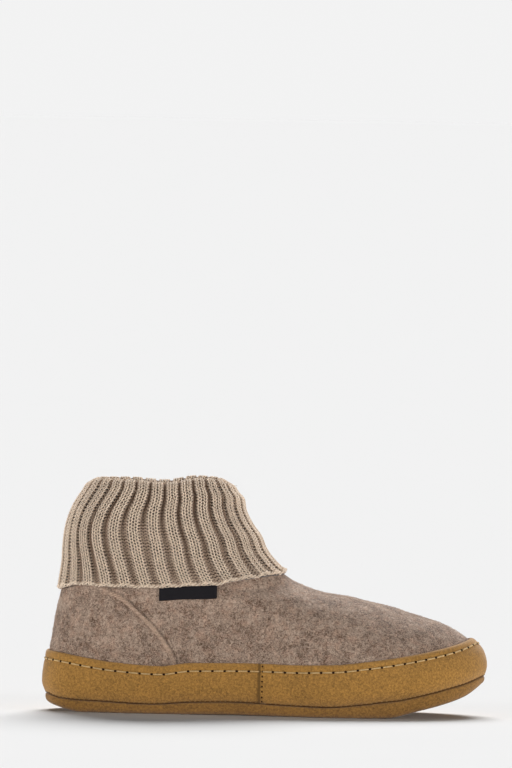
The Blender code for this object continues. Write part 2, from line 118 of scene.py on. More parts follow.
# The part's tables, as shares of the sizes that their headings name
Plan = namedtuple("Plan", "along middle outer inner")  # shares of BALL_WIDTH
PLAN = (
    Plan(0.00, 0.000, 0.350, 0.350),
    Plan(0.10, 0.000, 0.362, 0.358),
    Plan(0.25, 0.000, 0.367, 0.350),
    Plan(0.40, 0.000, 0.397, 0.337),
    Plan(0.50, 0.000, 0.440, 0.350),
    Plan(0.60, 0.003, 0.491, 0.392),
    Plan(0.68, 0.008, 0.526, 0.437),
    Plan(0.76, 0.016, 0.530, 0.467),
    Plan(0.84, 0.030, 0.506, 0.474),
    Plan(0.92, 0.048, 0.462, 0.452),
    Plan(1.00, 0.065, 0.418, 0.422),
)
Level = namedtuple("Level", "up back front width nose tail")  # shares of LENGTH and of the plan
FELT_LEVELS = (
    Level(0.00, 0.007, 0.996, 0.950, 5.0, 6.5),
    Level(0.08, 0.000, 1.000, 1.000, 5.0, 6.5),
    Level(0.18, 0.002, 0.995, 1.000, 4.8, 6.5),
    Level(0.27, 0.006, 0.982, 0.995, 4.3, 6.3),
    Level(0.35, 0.009, 0.958, 0.985, 3.6, 6.0),
    Level(0.45, 0.013, 0.922, 0.970, 2.8, 5.5),
    Level(0.55, 0.019, 0.858, 0.955, 2.2, 5.0),
    Level(0.63, 0.025, 0.791, 0.945, 1.8, 4.5),
    Level(0.70, 0.029, 0.704, 0.945, 1.6, 4.0),
    Level(0.76, 0.034, 0.608, 0.950, 1.6, 3.6),
    Level(0.83, 0.041, 0.546, 0.965, 1.8, 3.2),
    Level(0.90, 0.046, 0.509, 0.980, 2.1, 2.8),
    Level(1.00, 0.049, 0.483, 1.000, 2.6, 2.4),
)
CUFF_LEVELS = (
    Level(0.00, 0.0225, 0.546, 0.970, 2.4, 3.4),
    Level(0.12, 0.0265, 0.521, 0.975, 2.4, 3.2),
    Level(0.25, 0.0310, 0.501, 0.985, 2.5, 3.0),
    Level(0.40, 0.0325, 0.488, 0.990, 2.6, 2.7),
    Level(0.55, 0.0365, 0.467, 0.975, 2.7, 2.6),
    Level(0.70, 0.0460, 0.452, 0.940, 2.8, 2.6),
    Level(0.85, 0.0640, 0.445, 0.900, 2.8, 2.6),
    Level(1.00, 0.0740, 0.436, 0.885, 2.8, 2.6),
)
Sole = namedtuple("Sole", "along spring thick arch")
SOLE = (
    Sole(0.005, 0.240, 0.83, 0.0),
    Sole(0.026, 0.155, 0.79, 0.0),
    Sole(0.052, 0.060, 0.93, 0.0),
    Sole(0.080, 0.000, 1.02, 0.0),
    Sole(0.240, 0.000, 0.82, 0.0),
    Sole(0.340, 0.000, 1.05, 0.3),
    Sole(0.440, 0.000, 1.10, 1.0),
    Sole(0.545, 0.000, 0.96, 0.5),
    Sole(0.640, 0.000, 0.88, 0.0),
    Sole(0.735, 0.000, 1.20, 0.0),
    Sole(0.784, 0.020, 1.40, 0.0),
    Sole(0.845, 0.220, 1.26, 0.0),
    Sole(0.910, 0.455, 1.24, 0.0),
    Sole(0.958, 0.700, 1.09, 0.0),
    Sole(0.998, 1.070, 0.68, 0.0),
)
Edge = namedtuple("Edge", "along height")
RAND_TOP = (
    Edge(0.002, 1.147),
    Edge(0.033, 1.119),
    Edge(0.081, 1.056),
    Edge(0.156, 0.969),
    Edge(0.261, 0.915),
    Edge(0.333, 0.985),
    Edge(0.491, 1.003),
    Edge(0.566, 0.990),
    Edge(0.660, 1.009),
    Edge(0.732, 1.072),
    Edge(0.803, 1.150),
    Edge(0.878, 1.256),
    Edge(0.946, 1.390),
    Edge(0.976, 1.480),
)
HEM = (
    Edge(0.024, 0.957),
    Edge(0.065, 1.000),
    Edge(0.171, 0.991),
    Edge(0.250, 0.990),
    Edge(0.310, 1.008),
    Edge(0.382, 1.022),
    Edge(0.415, 1.046),
    Edge(0.468, 1.083),
    Edge(0.508, 1.108),
    Edge(0.546, 1.118),
)
FOLD_TOP = (
    Edge(0.070, 0.970),
    Edge(0.100, 0.989),
    Edge(0.182, 0.989),
    Edge(0.265, 0.980),
    Edge(0.344, 1.000),
    Edge(0.400, 0.995),
    Edge(0.437, 0.970),
)
Seam = namedtuple("Seam", "up along")
SEAM = (
    Seam(0.00, 0.303),
    Seam(0.26, 0.293),
    Seam(0.40, 0.269),
    Seam(0.50, 0.242),
    Seam(0.60, 0.206),
    Seam(0.685, 0.171),
    Seam(0.74, 0.135),
    Seam(0.80, 0.112),
    Seam(0.90, 0.098),
    Seam(1.00, 0.094),
)
Fold = namedtuple("Fold", "drop depth")  # shares of FOLD_THICKNESS
FOLD = (
    Fold(0.42, 0.08),
    Fold(0.12, 0.27),
    Fold(0.00, 0.52),
    Fold(0.09, 0.78),
    Fold(0.42, 0.96),
)

# Soft dents and swells of the felt, placed one by one: both ends as shares of the length and of the
# wall's height, on the outer or inner side, with half-width and depth in metres
Crease = namedtuple("Crease", "along up end_along end_up side width depth")
CREASES = (
    Crease(0.475, 0.30, 0.430, 0.36, -1, 0.0030, 0.0005),
    Crease(0.620, 0.74, 0.560, 0.56, -1, 0.0110, 0.0010),
    Crease(0.560, 0.56, 0.500, 0.44, -1, 0.0120, 0.0007),
    Crease(0.610, 0.73, 0.570, 0.55, 1, 0.0120, 0.0010),
    Crease(0.480, 0.40, 0.430, 0.33, 1, 0.0060, 0.0006),
    Crease(0.740, 0.62, 0.700, 0.44, -1, 0.0140, 0.0005),
    Crease(0.730, 0.60, 0.690, 0.42, 1, 0.0150, 0.0006),
    Crease(0.330, 0.62, 0.400, 0.42, -1, 0.0160, -0.0006),
    Crease(0.120, 0.58, 0.150, 0.34, -1, 0.0140, -0.0005),
    Crease(0.860, 0.42, 0.780, 0.36, -1, 0.0140, -0.0005),
    Crease(0.150, 0.55, 0.110, 0.36, 1, 0.0130, 0.0005),
)


def steepness(table):
    """Slope of each column at each row, kept flat at a turning point."""
    rises = np.diff(table, axis=0)[:, 1:] / np.diff(table[:, 0])[:, None]
    before = rises[:-1]
    after = rises[1:]
    total = np.where(before + after == 0.0, 1.0, before + after)
    inside = np.where(before * after > 0.0, 2.0 * before * after / total, 0.0)
    return np.vstack([rises[:1], inside, rises[-1:]])


def eased(start, end, leave, arrive, t):
    """Place at the share t of a curve from start to end, with its slopes at both."""
    curve = leave * t * (1.0 - t) ** 2 - arrive * t * t * (1.0 - t)
    return start + (end - start) * t * t * (3.0 - 2.0 * t) + curve


def travelled(steps):
    """Length from the start to each place, from the steps between the places."""
    return np.concatenate([[0.0], np.cumsum(steps)])


def smooth(rows, at):
    """The table's row at any place, on a smooth curve through its rows."""
    table = np.array(rows, float)
    slopes = steepness(table)
    at = np.asarray(at, float)
    marks = table[:, 0]
    index = np.clip(np.searchsorted(marks, at) - 1, 0, len(marks) - 2)
    span = marks[index + 1] - marks[index]
    t = np.clip((at - marks[index]) / span, 0.0, 1.0)[..., None]
    leave = slopes[index] * span[..., None]
    arrive = slopes[index + 1] * span[..., None]
    values = eased(table[index, 1:], table[index + 1, 1:], leave, arrive, t)
    return type(rows[0])(at, *np.moveaxis(values, -1, 0))


def share_along(x):
    return x / LENGTH + 0.5


def underside(x, y):
    row = smooth(SOLE, share_along(x))
    return TOE_SPRING * row.spring + ARCH_LIFT * row.arch * (y / BALL_WIDTH + 0.5)


def sole_top(x, y):
    return underside(x, y) + SOLE_THICKNESS * smooth(SOLE, share_along(x)).thick


def seat(x, y):
    """Height at which felt, rand and footbed stand on the sole."""
    return sole_top(x, y) + SEAT_CLEARANCE


def rand_top(x):
    return RAND_HEIGHT * smooth(RAND_TOP, share_along(x)).height


def hem_height(x):
    return HEM_HEIGHT * smooth(HEM, share_along(x)).height


def fold_height(x):
    return CUFF_HEIGHT * smooth(FOLD_TOP, share_along(x)).height


def oval(level, angle, spread=0.0):
    """Plan point of a level's outline, each side spread by a length."""
    swing = np.cos(angle)
    along = (level.front + level.back) / 2 + (level.front - level.back) / 2 * swing
    plan = smooth(PLAN, along)
    blunt = np.where(swing > 0.0, level.nose, level.tail)
    bow = np.sqrt(np.maximum(0.0, 1.0 - np.abs(swing) ** blunt))
    inner = np.sin(angle) >= 0.0
    reach = BALL_WIDTH * np.where(inner, plan.inner, plan.outer) * level.width + spread
    y = BALL_WIDTH * plan.middle + np.where(inner, reach, -reach) * bow
    return LENGTH * (along - 0.5), y


def felt_point(angle, up):
    """Point of the felt's outside at a share of the wall's height."""
    angle, up = np.broadcast_arrays(angle, up)
    x, y = oval(smooth(FELT_LEVELS, up), angle)
    foot = seat(x, y)
    return np.stack([x, y, foot + up * (COLLAR_HEIGHT - foot)], axis=-1)


def unit(vectors):
    return vectors / np.maximum(np.linalg.norm(vectors, axis=-1, keepdims=True), 1e-12)


def felt_normal(angle, up):
    """Outward direction of the felt, turned level at its foot so that it stands flat on the sole."""
    round_it = felt_point(angle + TURN, up) - felt_point(angle - TURN, up)
    above = felt_point(angle, np.minimum(1.0, up + CLIMB))
    up_it = above - felt_point(angle, np.maximum(0.0, up - CLIMB))
    normal = unit(np.cross(round_it, up_it))
    normal[..., 2] *= np.minimum(1.0, up / FOOT_LEVEL)
    return unit(normal)


def felt_surface(angle, up, out):
    """Point at a distance outside the felt, or inside it where the distance is negative."""
    angle, up, out = np.broadcast_arrays(angle, up, out)
    start = felt_point(angle, up)
    point = start + felt_normal(angle, up) * out[..., None]
    on_sole = np.maximum(0.0, 1.0 - up / FOOT_LEVEL)
    lift = seat(point[..., 0], point[..., 1]) - seat(start[..., 0], start[..., 1])
    point[..., 2] += lift * on_sole
    return point


def angle_at(along, up):
    """Angle, on the inner side, of a share of the length."""
    level = smooth(FELT_LEVELS, up)
    middle = (level.front + level.back) / 2
    return np.arccos(np.clip((along - middle) / ((level.front - level.back) / 2), -1.0, 1.0))


def level_where(angle, height_of):
    """Level at which the felt reaches a line drawn round the slipper."""
    up = np.full_like(np.asarray(angle, float), 0.5)
    for _ in range(LEVEL_ROUNDS):
        point = felt_point(angle, up)
        foot = seat(point[..., 0], point[..., 1])
        goal = (height_of(angle, up, point[..., 0]) - foot) / (COLLAR_HEIGHT - foot)
        up = up + LEVEL_PACE * (np.clip(goal, LOWEST_LEVEL, HIGHEST_LEVEL) - up)
    return up


def rand_line(angle, up, x):
    return rand_top(x)


def hem_line(angle, up, x):
    lean = np.maximum(0.0, felt_normal(angle, up)[..., 2])
    return hem_height(x) - KNIT_THICKNESS * HEM_TUCK * lean


def bump_at(distance, half_width):
    """Soft hump of height 1 that ends at its half-width."""
    near = np.clip(1.0 - (distance / half_width) ** 2, 0.0, 1.0)
    return near * near


def even_angles(outline, count):
    """Angles that cut an outline, given as a function of the angle, into equal lengths."""
    angles = np.linspace(0.0, 2 * math.pi, 1441)
    places = np.stack(outline(angles)[:2], axis=-1)
    lengths = travelled(np.linalg.norm(np.diff(places, axis=0), axis=-1))
    return np.interp(np.arange(count + 1) * lengths[-1] / count, lengths, angles)


def foot_angles(count):
    """Angles round the foot, evenly apart along the rand."""
    level = smooth(FELT_LEVELS, LAP_TOP_LEVEL)
    return even_angles(lambda angle: oval(level, angle), count)[:-1]


def shift_to_frame():
    """Step from the last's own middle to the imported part's, whose box is centred."""
    angles = foot_angles(400)[:, None]
    points = felt_point(angles, np.linspace(0.0, 1.0, 101)[None, :]).reshape(-1, 3)
    low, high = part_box("upper")
    middle = (points.min(0) + points.max(0)) / 2
    return np.array([(low.x + high.x) / 2 - middle[0], (low.y + high.y) / 2 - middle[1], 0.0])


SHIFT = shift_to_frame()


# Meshes

def linked(name, data):
    piece = bpy.data.objects.new(name, data)
    bpy.context.scene.collection.objects.link(piece)
    return piece


def signed_volume(points, quads):
    a, b, c, d = (points[quads[:, corner]] for corner in range(4))
    first = np.einsum("ij,ij->i", a, np.cross(b, c)).sum()
    return first + np.einsum("ij,ij->i", a, np.cross(c, d)).sum()


def ring_quads(rings, columns, closed):
    """Quads between rings of equal count; a closed stack joins its last ring to its first."""
    lower = np.arange(rings if closed else rings - 1)[:, None] * columns
    upper = (lower // columns + 1) % rings * columns
    near = np.arange(columns)[None, :]
    far = (near + 1) % columns
    return np.stack([lower + near, lower + far, upper + far, upper + near], axis=-1).reshape(-1, 4)


def stack(rings, closed, **values):
    """Points, faces and named values of a stack of rings."""
    rings = np.array(rings)
    values = {label: np.array(rows) for label, rows in values.items()}
    return rings, ring_quads(len(rings), rings.shape[1], closed), values


def mesh_piece(name, points, quads, material, values=None, caps=(), centred=True):
    """Object of quads with a smooth finish, its faces outwards, and named values for its material."""
    points = np.asarray(points, float).reshape(-1, 3) + (SHIFT if centred else 0.0)
    if signed_volume(points, quads) < 0.0:
        quads = quads[:, ::-1]
    mesh = bpy.data.meshes.new(name)
    mesh.from_pydata(points.tolist(), [], quads.tolist() + list(caps))
    for label, numbers in (values or {}).items():
        attribute = mesh.attributes.new(label, "FLOAT", "POINT")
        attribute.data.foreach_set("value", np.asarray(numbers, np.float32).ravel())
    mesh.materials.append(material)
    mesh.shade_smooth()
    return linked(name, mesh)


def cross_strips(base, columns, flip):
    """Strips across the foot that close a ring whose columns mirror each other about the toe."""
    half = columns // 2
    strips = []
    for near in range(half):
        far = columns - near
        corners = [base + near, base + near + 1]
        if far - 1 != near + 1:
            corners.append(base + far - 1)
        if near > 0:
            corners.append(base + far)
        strips.append(corners[::-1] if flip else corners)
    return strips


def end_caps(rings):
    """Faces that close a stack of rings at its two ends."""
    columns = rings.shape[1]
    return cross_strips(0, columns, True) + cross_strips((len(rings) - 1) * columns, columns, False)


def placed(piece, slot, *nodes):
    """The finished piece rides on the slipper, and the solids it stands for are hidden; its finish slot is
    not used.
    """
    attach(piece, "root")
    if nodes:
        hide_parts(*nodes)
    return piece


# Nodes

class Nodes:
    """A tree of nodes that is written as a chain."""

    def __init__(self, tree):
        self.tree = tree
        self.nodes = tree.nodes
        self.links = tree.links

    def add(self, kind, wires=None, **settings):
        """New node: wires is a dict of input name or number to a socket or a value."""
        node = self.nodes.new(kind)
        for label, value in settings.items():
            setattr(node, label, value)
        for label, value in (wires or {}).items():
            if isinstance(value, bpy.types.NodeSocket):
                self.links.new(value, node.inputs[label])
            else:
                node.inputs[label].default_value = value
        return node

    def maths(self, kind, first, second):
        return self.add("ShaderNodeMath", {0: first, 1: second}, operation=kind).outputs[0]


def shared(name, build):
    """A node group that is built once, for every piece that needs it."""
    return bpy.data.node_groups.get(name) or build()


class Tree(Nodes):
    """A Geometry Nodes tree with named inputs."""

    def __init__(self, name, sizes):
        super().__init__(bpy.data.node_groups.new(name, "GeometryNodeTree"))
        face = self.tree.interface
        face.new_socket("Geometry", in_out="INPUT", socket_type="NodeSocketGeometry")
        for label, (value, low, high) in sizes.items():
            socket = face.new_socket(label, in_out="INPUT", socket_type="NodeSocketFloat")
            socket.default_value = value
            socket.min_value = low
            socket.max_value = high
        face.new_socket("Material", in_out="INPUT", socket_type="NodeSocketMaterial")
        face.new_socket("Geometry", in_out="OUTPUT", socket_type="NodeSocketGeometry")
        self.inputs = self.add("NodeGroupInput")
        self.end = self.add("NodeGroupOutput")

    def size(self, label):
        return self.inputs.outputs[label]

    def times(self, socket, factor):
        return self.maths("MULTIPLY", socket, factor)

    def point(self, x, y, z):
        return self.add("ShaderNodeCombineXYZ", {"X": x, "Y": y, "Z": z}).outputs[0]

    def named(self, label, kind="FLOAT_VECTOR"):
        node = self.add("GeometryNodeInputNamedAttribute", {"Name": label}, data_type=kind)
        return node.outputs["Attribute"]

    def tube(self, line, radius, sides):
        """Closed tube along a curved segment, whose wires are in line."""
        segment = self.add("GeometryNodeCurvePrimitiveBezierSegment", line)
        ring = self.add("GeometryNodeCurvePrimitiveCircle", {"Resolution": sides, "Radius": radius})
        wires = {"Curve": segment.outputs[0], "Profile Curve": ring.outputs[0], "Fill Caps": True}
        return self.add("GeometryNodeCurveToMesh", wires).outputs[0]

    def finish(self, instances):
        solid = self.add("GeometryNodeRealizeInstances", {"Geometry": instances})
        soft = self.add("GeometryNodeSetShadeSmooth", {"Geometry": solid.outputs[0]})
        wires = {"Geometry": soft.outputs[0], "Material": self.size("Material")}
        painted = self.add("GeometryNodeSetMaterial", wires)
        self.links.new(painted.outputs[0], self.end.inputs[0])
        return self.tree


def thread_tree():
    """One stitch of thread at each point: it bows out of the surface and dives in at both ends."""
    sizes = {
        "Stitch Length": (0.0058, 0.0005, 0.05),
        "Thread Radius": (0.00035, 0.00005, 0.005),
        "Bow": (0.0006, 0.0, 0.01),
        "Dive": (0.0005, 0.0, 0.01),
    }
    tree = Tree("Thread stitches", sizes)
    half = tree.times(tree.size("Stitch Length"), 0.5)
    under = tree.times(tree.size("Dive"), -1.0)
    rise = tree.times(tree.size("Bow"), 1.35)
    line = {
        "Resolution": 10,
        "Start": tree.point(tree.times(half, -1.0), 0.0, under),
        "Start Handle": tree.point(tree.times(half, -0.85), 0.0, rise),
        "End Handle": tree.point(tree.times(half, 0.85), 0.0, rise),
        "End": tree.point(half, 0.0, under),
    }
    tube = tree.tube(line, tree.size("Thread Radius"), 6)
    return tree.finish(on_points(tree, tree.size("Geometry"), tube))


def hole_tree():
    """One shallow dimple at each point, where the needle went in, dark with painted shade."""
    tree = Tree("Needle holes", {"Hole Radius": (0.0006, 0.00005, 0.005)})
    ball_wires = {"Segments": 8, "Rings": 5, "Radius": tree.size("Hole Radius")}
    ball = tree.add("GeometryNodeMeshUVSphere", ball_wires)
    flat = tree.add("GeometryNodeTransform", {"Geometry": ball.outputs[0], "Scale": (1.0, 0.85, 0.35)})
    return tree.finish(on_points(tree, tree.size("Geometry"), flat.outputs[0]))


def on_points(tree, points, shape):
    """Places a shape on points, turned by their stored directions outward and along."""
    upright = tree.add("FunctionNodeAlignRotationToVector", {"Vector": tree.named("outward")}, axis="Z")
    wires = {"Rotation": upright.outputs[0], "Vector": tree.named("along")}
    turned = tree.add("FunctionNodeAlignRotationToVector", wires, axis="X", pivot_axis="Z")
    wires = {"Points": points, "Instance": shape, "Rotation": turned.outputs[0]}
    return tree.add("GeometryNodeInstanceOnPoints", wires).outputs[0]


def fibre_tree():
    """Short bent fibres scattered over the faces where the attribute fuzz is above 0."""
    sizes = {
        "Density": (40000.0, 0.0, 1e7),
        "Fibre Length": (0.0024, 0.0002, 0.02),
        "Fibre Radius": (0.00006, 0.00001, 0.001),
        "Lift": (0.0004, 0.0, 0.01),
    }
    tree = Tree("Loose fibres", sizes)
    wires = {"Mesh": tree.size("Geometry"), "Seed": 7}
    scatter = tree.add("GeometryNodeDistributePointsOnFaces", wires)
    share = tree.named("fuzz", "FLOAT")
    tree.links.new(tree.times(tree.size("Density"), share), scatter.inputs["Density"])
    length = tree.size("Fibre Length")
    line = {
        "Resolution": 3,
        "Start": (0.0, 0.0, -0.00005),
        "Start Handle": tree.point(tree.times(length, 0.3), 0.0, tree.size("Lift")),
        "End Handle": tree.point(tree.times(length, 0.6), tree.times(length, 0.35), tree.size("Lift")),
        "End": tree.point(
            tree.times(length, 0.9), tree.times(length, 0.3), tree.times(tree.size("Lift"), 0.3)),
    }
    tube = tree.tube(line, tree.size("Fibre Radius"), 3)
    angle = tree.add("FunctionNodeRandomValue", {2: -math.pi, 3: math.pi, "Seed": 11}, data_type="FLOAT")
    spin_wires = {"Axis": (0.0, 0.0, 1.0), "Angle": angle.outputs[1]}
    spin = tree.add("FunctionNodeAxisAngleToRotation", spin_wires)
    wires = {"Rotation": scatter.outputs["Rotation"], "Rotate By": spin.outputs[0]}
    turned = tree.add("FunctionNodeRotateRotation", wires, rotation_space="LOCAL")
    size = tree.add("FunctionNodeRandomValue", {2: 0.6, 3: 1.4, "Seed": 5}, data_type="FLOAT")
    wires = {
        "Points": scatter.outputs[0],
        "Instance": tube,
        "Rotation": turned.outputs[0],
        "Scale": tree.point(size.outputs[1], size.outputs[1], 1.0),
    }
    return tree.finish(tree.add("GeometryNodeInstanceOnPoints", wires).outputs[0])


def grown(name, source, tree, material, **sizes):
    """Plain mesh of what a tree grows on a source object, which is left as it was."""
    modifier = source.modifiers.new("Growth", "NODES")
    modifier.node_group = tree
    wanted = {label.replace("_", " ").title(): value for label, value in sizes.items()}
    wanted["Material"] = material
    for item in tree.interface.items_tree:
        if item.in_out == "INPUT" and item.name in wanted:
            modifier[item.identifier] = wanted[item.name]
    source.update_tag()
    depsgraph = bpy.context.evaluated_depsgraph_get()
    mesh = bpy.data.meshes.new_from_object(source.evaluated_get(depsgraph))
    source.modifiers.remove(modifier)
    mesh.name = name
    return linked(name, mesh)


def seeds(places, outward, along):
    """Object of loose points with the directions that a tree turns its shapes by."""
    places = np.asarray(places, float).reshape(-1, 3) + SHIFT
    mesh = bpy.data.meshes.new("seeds")
    mesh.from_pydata(places.tolist(), [], [])
    for label, vectors in (("outward", outward), ("along", along)):
        attribute = mesh.attributes.new(label, "FLOAT_VECTOR", "POINT")
        attribute.data.foreach_set("vector", np.asarray(vectors, np.float32).ravel())
    return linked("seeds", mesh)


def grow_on_points(name, places, outward, along, tree, material, **sizes):
    points = seeds(places, outward, along)
    piece = grown(name, points, tree, material, **sizes)
    bpy.data.objects.remove(points)
    return piece


# Materials

class Finish(Nodes):
    """A node material around one Principled shader."""

    def __init__(self, name, roughness, sheen=0.0):
        self.material = bpy.data.materials.new(name)
        self.material.use_nodes = True
        super().__init__(self.material.node_tree)
        self.shader = self.nodes["Principled BSDF"]
        self.shader.inputs["Roughness"].default_value = roughness
        self.shader.inputs["Specular IOR Level"].default_value = 0.2
        self.shader.inputs["Sheen Weight"].default_value = sheen
        self.shader.inputs["Sheen Roughness"].default_value = 0.6
        self.place = self.add("ShaderNodeTexCoord").outputs["Object"]

    def attribute(self, label):
        return self.add("ShaderNodeAttribute", attribute_name=label).outputs["Fac"]

    def effect(self, tree, **values):
        """Places a shared effect with its own values."""
        wires = {label.title(): value for label, value in values.items()}
        return self.add("ShaderNodeGroup", wires, node_tree=tree)

    def mix(self, factor, low, high, blend="MIX"):
        wires = {0: factor, 6: low, 7: high}
        return self.add("ShaderNodeMix", wires, data_type="RGBA", blend_type=blend).outputs[2]

    def spread(self, value, low, high, to_low=0.0, to_high=1.0):
        wires = {"Value": value, "From Min": low, "From Max": high, "To Min": to_low, "To Max": to_high}
        return self.add("ShaderNodeMapRange", wires).outputs["Result"]

    def noise(self, scale, detail=2.0, distortion=0.0):
        wires = {"Vector": self.place, "Scale": scale, "Detail": detail, "Distortion": distortion}
        return self.add("ShaderNodeTexNoise", wires).outputs["Fac"]

    def colour(self, socket):
        self.links.new(socket, self.shader.inputs["Base Color"])

    def relief(self, height, distance, strength):
        wires = {"Height": height, "Distance": distance, "Strength": strength}
        self.links.new(self.add("ShaderNodeBump", wires).outputs[0], self.shader.inputs["Normal"])


class Effect(Finish):
    """A shared node group of varying colours and heights."""

    def __init__(self, name, inputs):
        Nodes.__init__(self, bpy.data.node_groups.new(name, "ShaderNodeTree"))
        for label, value in inputs.items():
            kind = "NodeSocketColor" if isinstance(value, tuple) else "NodeSocketFloat"
            socket = self.tree.interface.new_socket(label, in_out="INPUT", socket_type=kind)
            socket.default_value = value
        for label, kind in (("Color", "NodeSocketColor"), ("Height", "NodeSocketFloat")):
            self.tree.interface.new_socket(label, in_out="OUTPUT", socket_type=kind)
        self.inputs = self.add("NodeGroupInput").outputs
        self.end = self.add("NodeGroupOutput").inputs
        self.place = self.add("ShaderNodeTexCoord").outputs["Object"]

    def close(self, colour, height):
        """The finished group, with its two outputs wired."""
        self.links.new(colour, self.end["Color"])
        self.links.new(height, self.end["Height"])
        return self.tree


def heather_effect():
    """Felted wool: fibres of a dark and a light shade lie in all directions, with soft clouds."""
    inputs = {"Dark": (0.1, 0.1, 0.1, 1.0), "Light": (0.5, 0.5, 0.5, 1.0), "Cloud": 0.3, "Grain": 700.0}
    effect = Effect("Heathered wool", inputs)
    tufts = effect.noise(effect.inputs["Grain"], 3.0, 1.2)
    hairs = effect.noise(1500.0, 2.0, 2.0)
    fibres = effect.maths("ADD", tufts, hairs)
    cloud = effect.noise(110.0, 3.0)
    cloud_share = effect.spread(cloud, 0.3, 0.7, -0.5, 0.5)
    pull = effect.maths("MULTIPLY", cloud_share, effect.inputs["Cloud"])
    mixed = effect.maths("ADD", fibres, pull)
    share = effect.spread(mixed, 0.80, 1.22)
    colour = effect.mix(share, effect.inputs["Dark"], effect.inputs["Light"])
    ruddy = effect.spread(effect.noise(260.0, 2.0), 0.45, 0.70, 0.0, 0.8)
    colour = effect.mix(ruddy, colour, (1.04, 0.93, 0.88, 1.0), "MULTIPLY")
    return effect.close(colour, effect.spread(fibres, 0.6, 1.4))


def nap_effect():
    """Suede: brushed patches of a dark and a light shade with a fine nap."""
    inputs = {"Dark": (0.1, 0.1, 0.1, 1.0), "Light": (0.5, 0.5, 0.5, 1.0)}
    effect = Effect("Brushed suede", inputs)
    patches = effect.noise(60.0, 3.0)
    nap = effect.noise(1900.0, 3.0)
    speck = effect.noise(760.0, 2.0)
    brushed = effect.spread(patches, 0.30, 0.70, 0.38, 0.62)
    first = effect.maths("ADD", brushed, effect.spread(nap, 0.3, 0.7))
    whole = effect.maths("ADD", first, effect.spread(speck, 0.3, 0.7))
    share = effect.spread(whole, 0.6, 2.4)
    colour = effect.mix(share, effect.inputs["Dark"], effect.inputs["Light"])
    return effect.close(colour, nap)


def shade(colour, factor):
    """A colour made lighter or darker by a factor, as four numbers."""
    return tuple(min(1.0, part * factor) for part in colour[:3]) + (1.0,)


def felt_finish(name, colour, cloud=0.22):
    finish = Finish(name, roughness=0.95, sheen=0.12)
    brown = tuple(part * warm for part, warm in zip(colour, (0.40, 0.335, 0.30)))
    beige = tuple(part * warm for part, warm in zip(colour, (1.86, 1.93, 1.98)))
    wool = finish.effect(
        shared("Heathered wool", heather_effect), dark=shade(brown, 1.0), light=shade(beige, 1.0),
        cloud=cloud, grain=760.0)
    raised = finish.spread(finish.attribute("ridge"), 0.0, 1.0, 0.0, 0.42)
    pale = finish.mix(wool.outputs["Height"], (0.34, 0.215, 0.145, 1.0), (0.66, 0.47, 0.34, 1.0))
    ridged = finish.mix(raised, wool.outputs["Color"], pale)
    # painted shade: the felt darkens in the groove beside the seam
    shaded = finish.spread(finish.attribute("dark"), 0.0, 1.0, 0.0, 0.5)
    finish.colour(finish.mix(shaded, ridged, shade(colour, 0.4)))
    finish.relief(wool.outputs["Height"], 0.0004, 0.6)
    return finish.material


def suede_finish(name, colour):
    """Suede with painted shading from a point attribute: under 0.5 it darkens with painted shade, over 0.5
    it turns lighter.
    """
    finish = Finish(name, roughness=0.93, sheen=0.2)
    nap = finish.effect(
        shared("Brushed suede", nap_effect), dark=shade(colour, 0.50), light=shade(colour, 1.60))
    # painted shading: the attribute lightens the nap above 0.5 and darkens it with painted shade below 0.5
    wear = finish.attribute("wear")
    lightened = finish.mix(finish.spread(wear, 0.5, 1.0), nap.outputs["Color"], shade(colour, 1.5))
    deep = finish.mix(finish.spread(wear, 0.5, 0.0), lightened, shade(colour, 0.42))
    finish.colour(deep)
    finish.relief(nap.outputs["Height"], 0.00025, 0.5)
    return finish.material


def yarn_finish(name, colour, deep_colour):
    """Marled wool yarn with its plies twisted round it; where the attribute hollow is high it turns a
    darker brown: in the troughs of the ribs partly its own browner tone and partly painted shade, on the
    loops' sunk heads painted shade.
    """
    finish = Finish(name, roughness=0.9, sheen=0.35)
    marl = finish.noise(420.0, 2.0)
    twist = finish.noise(2200.0, 2.0)
    both = finish.maths("ADD", marl, twist)
    pale = finish.mix(finish.spread(both, 0.7, 1.3), shade(colour, 0.66), shade(colour, 1.0))
    brown = finish.mix(finish.attribute("hollow"), pale, deep_colour)
    finish.colour(brown)
    finish.relief(twist, 0.0002, 0.5)
    return finish.material


def plain_finish(name, colour, roughness):
    """One colour with a fine grain a little darker and lighter than it."""
    finish = Finish(name, roughness=roughness)
    grain = finish.spread(finish.noise(900.0, 2.0), 0.3, 0.7)
    finish.colour(finish.mix(grain, shade(colour, 0.75), shade(colour, 1.25)))
    finish.relief(grain, 0.0001, 0.4)
    return finish.material


def weave_finish(name, colour):
    """Woven tape: fine warp and weft seen as a grid of small bumps."""
    finish = Finish(name, roughness=0.85)
    warp_wires = {"Vector": finish.place, "Scale": 900.0, "Distortion": 0.4}
    warp = finish.add("ShaderNodeTexWave", warp_wires, bands_direction="X").outputs["Fac"]
    weft = finish.add("ShaderNodeTexWave", warp_wires, bands_direction="Z").outputs["Fac"]
    grid = finish.maths("ADD", warp, weft)
    share = finish.spread(grid, 0.2, 1.8)
    finish.colour(finish.mix(share, shade(colour, 0.5), shade(colour, 2.2)))
    finish.relief(share, 0.0002, 0.7)
    return finish.material


# Felt upper

def seam_distance(point, up):
    """Distance of a point of the felt from the back-part seam, level with it."""
    path = smooth(SEAM, up).along
    drift = (smooth(SEAM, up + CLIMB).along - smooth(SEAM, up - CLIMB).along) * LENGTH
    slant = np.hypot(1.0, drift / (2 * CLIMB * COLLAR_HEIGHT))
    return (share_along(point[..., 0]) - path) * LENGTH / slant


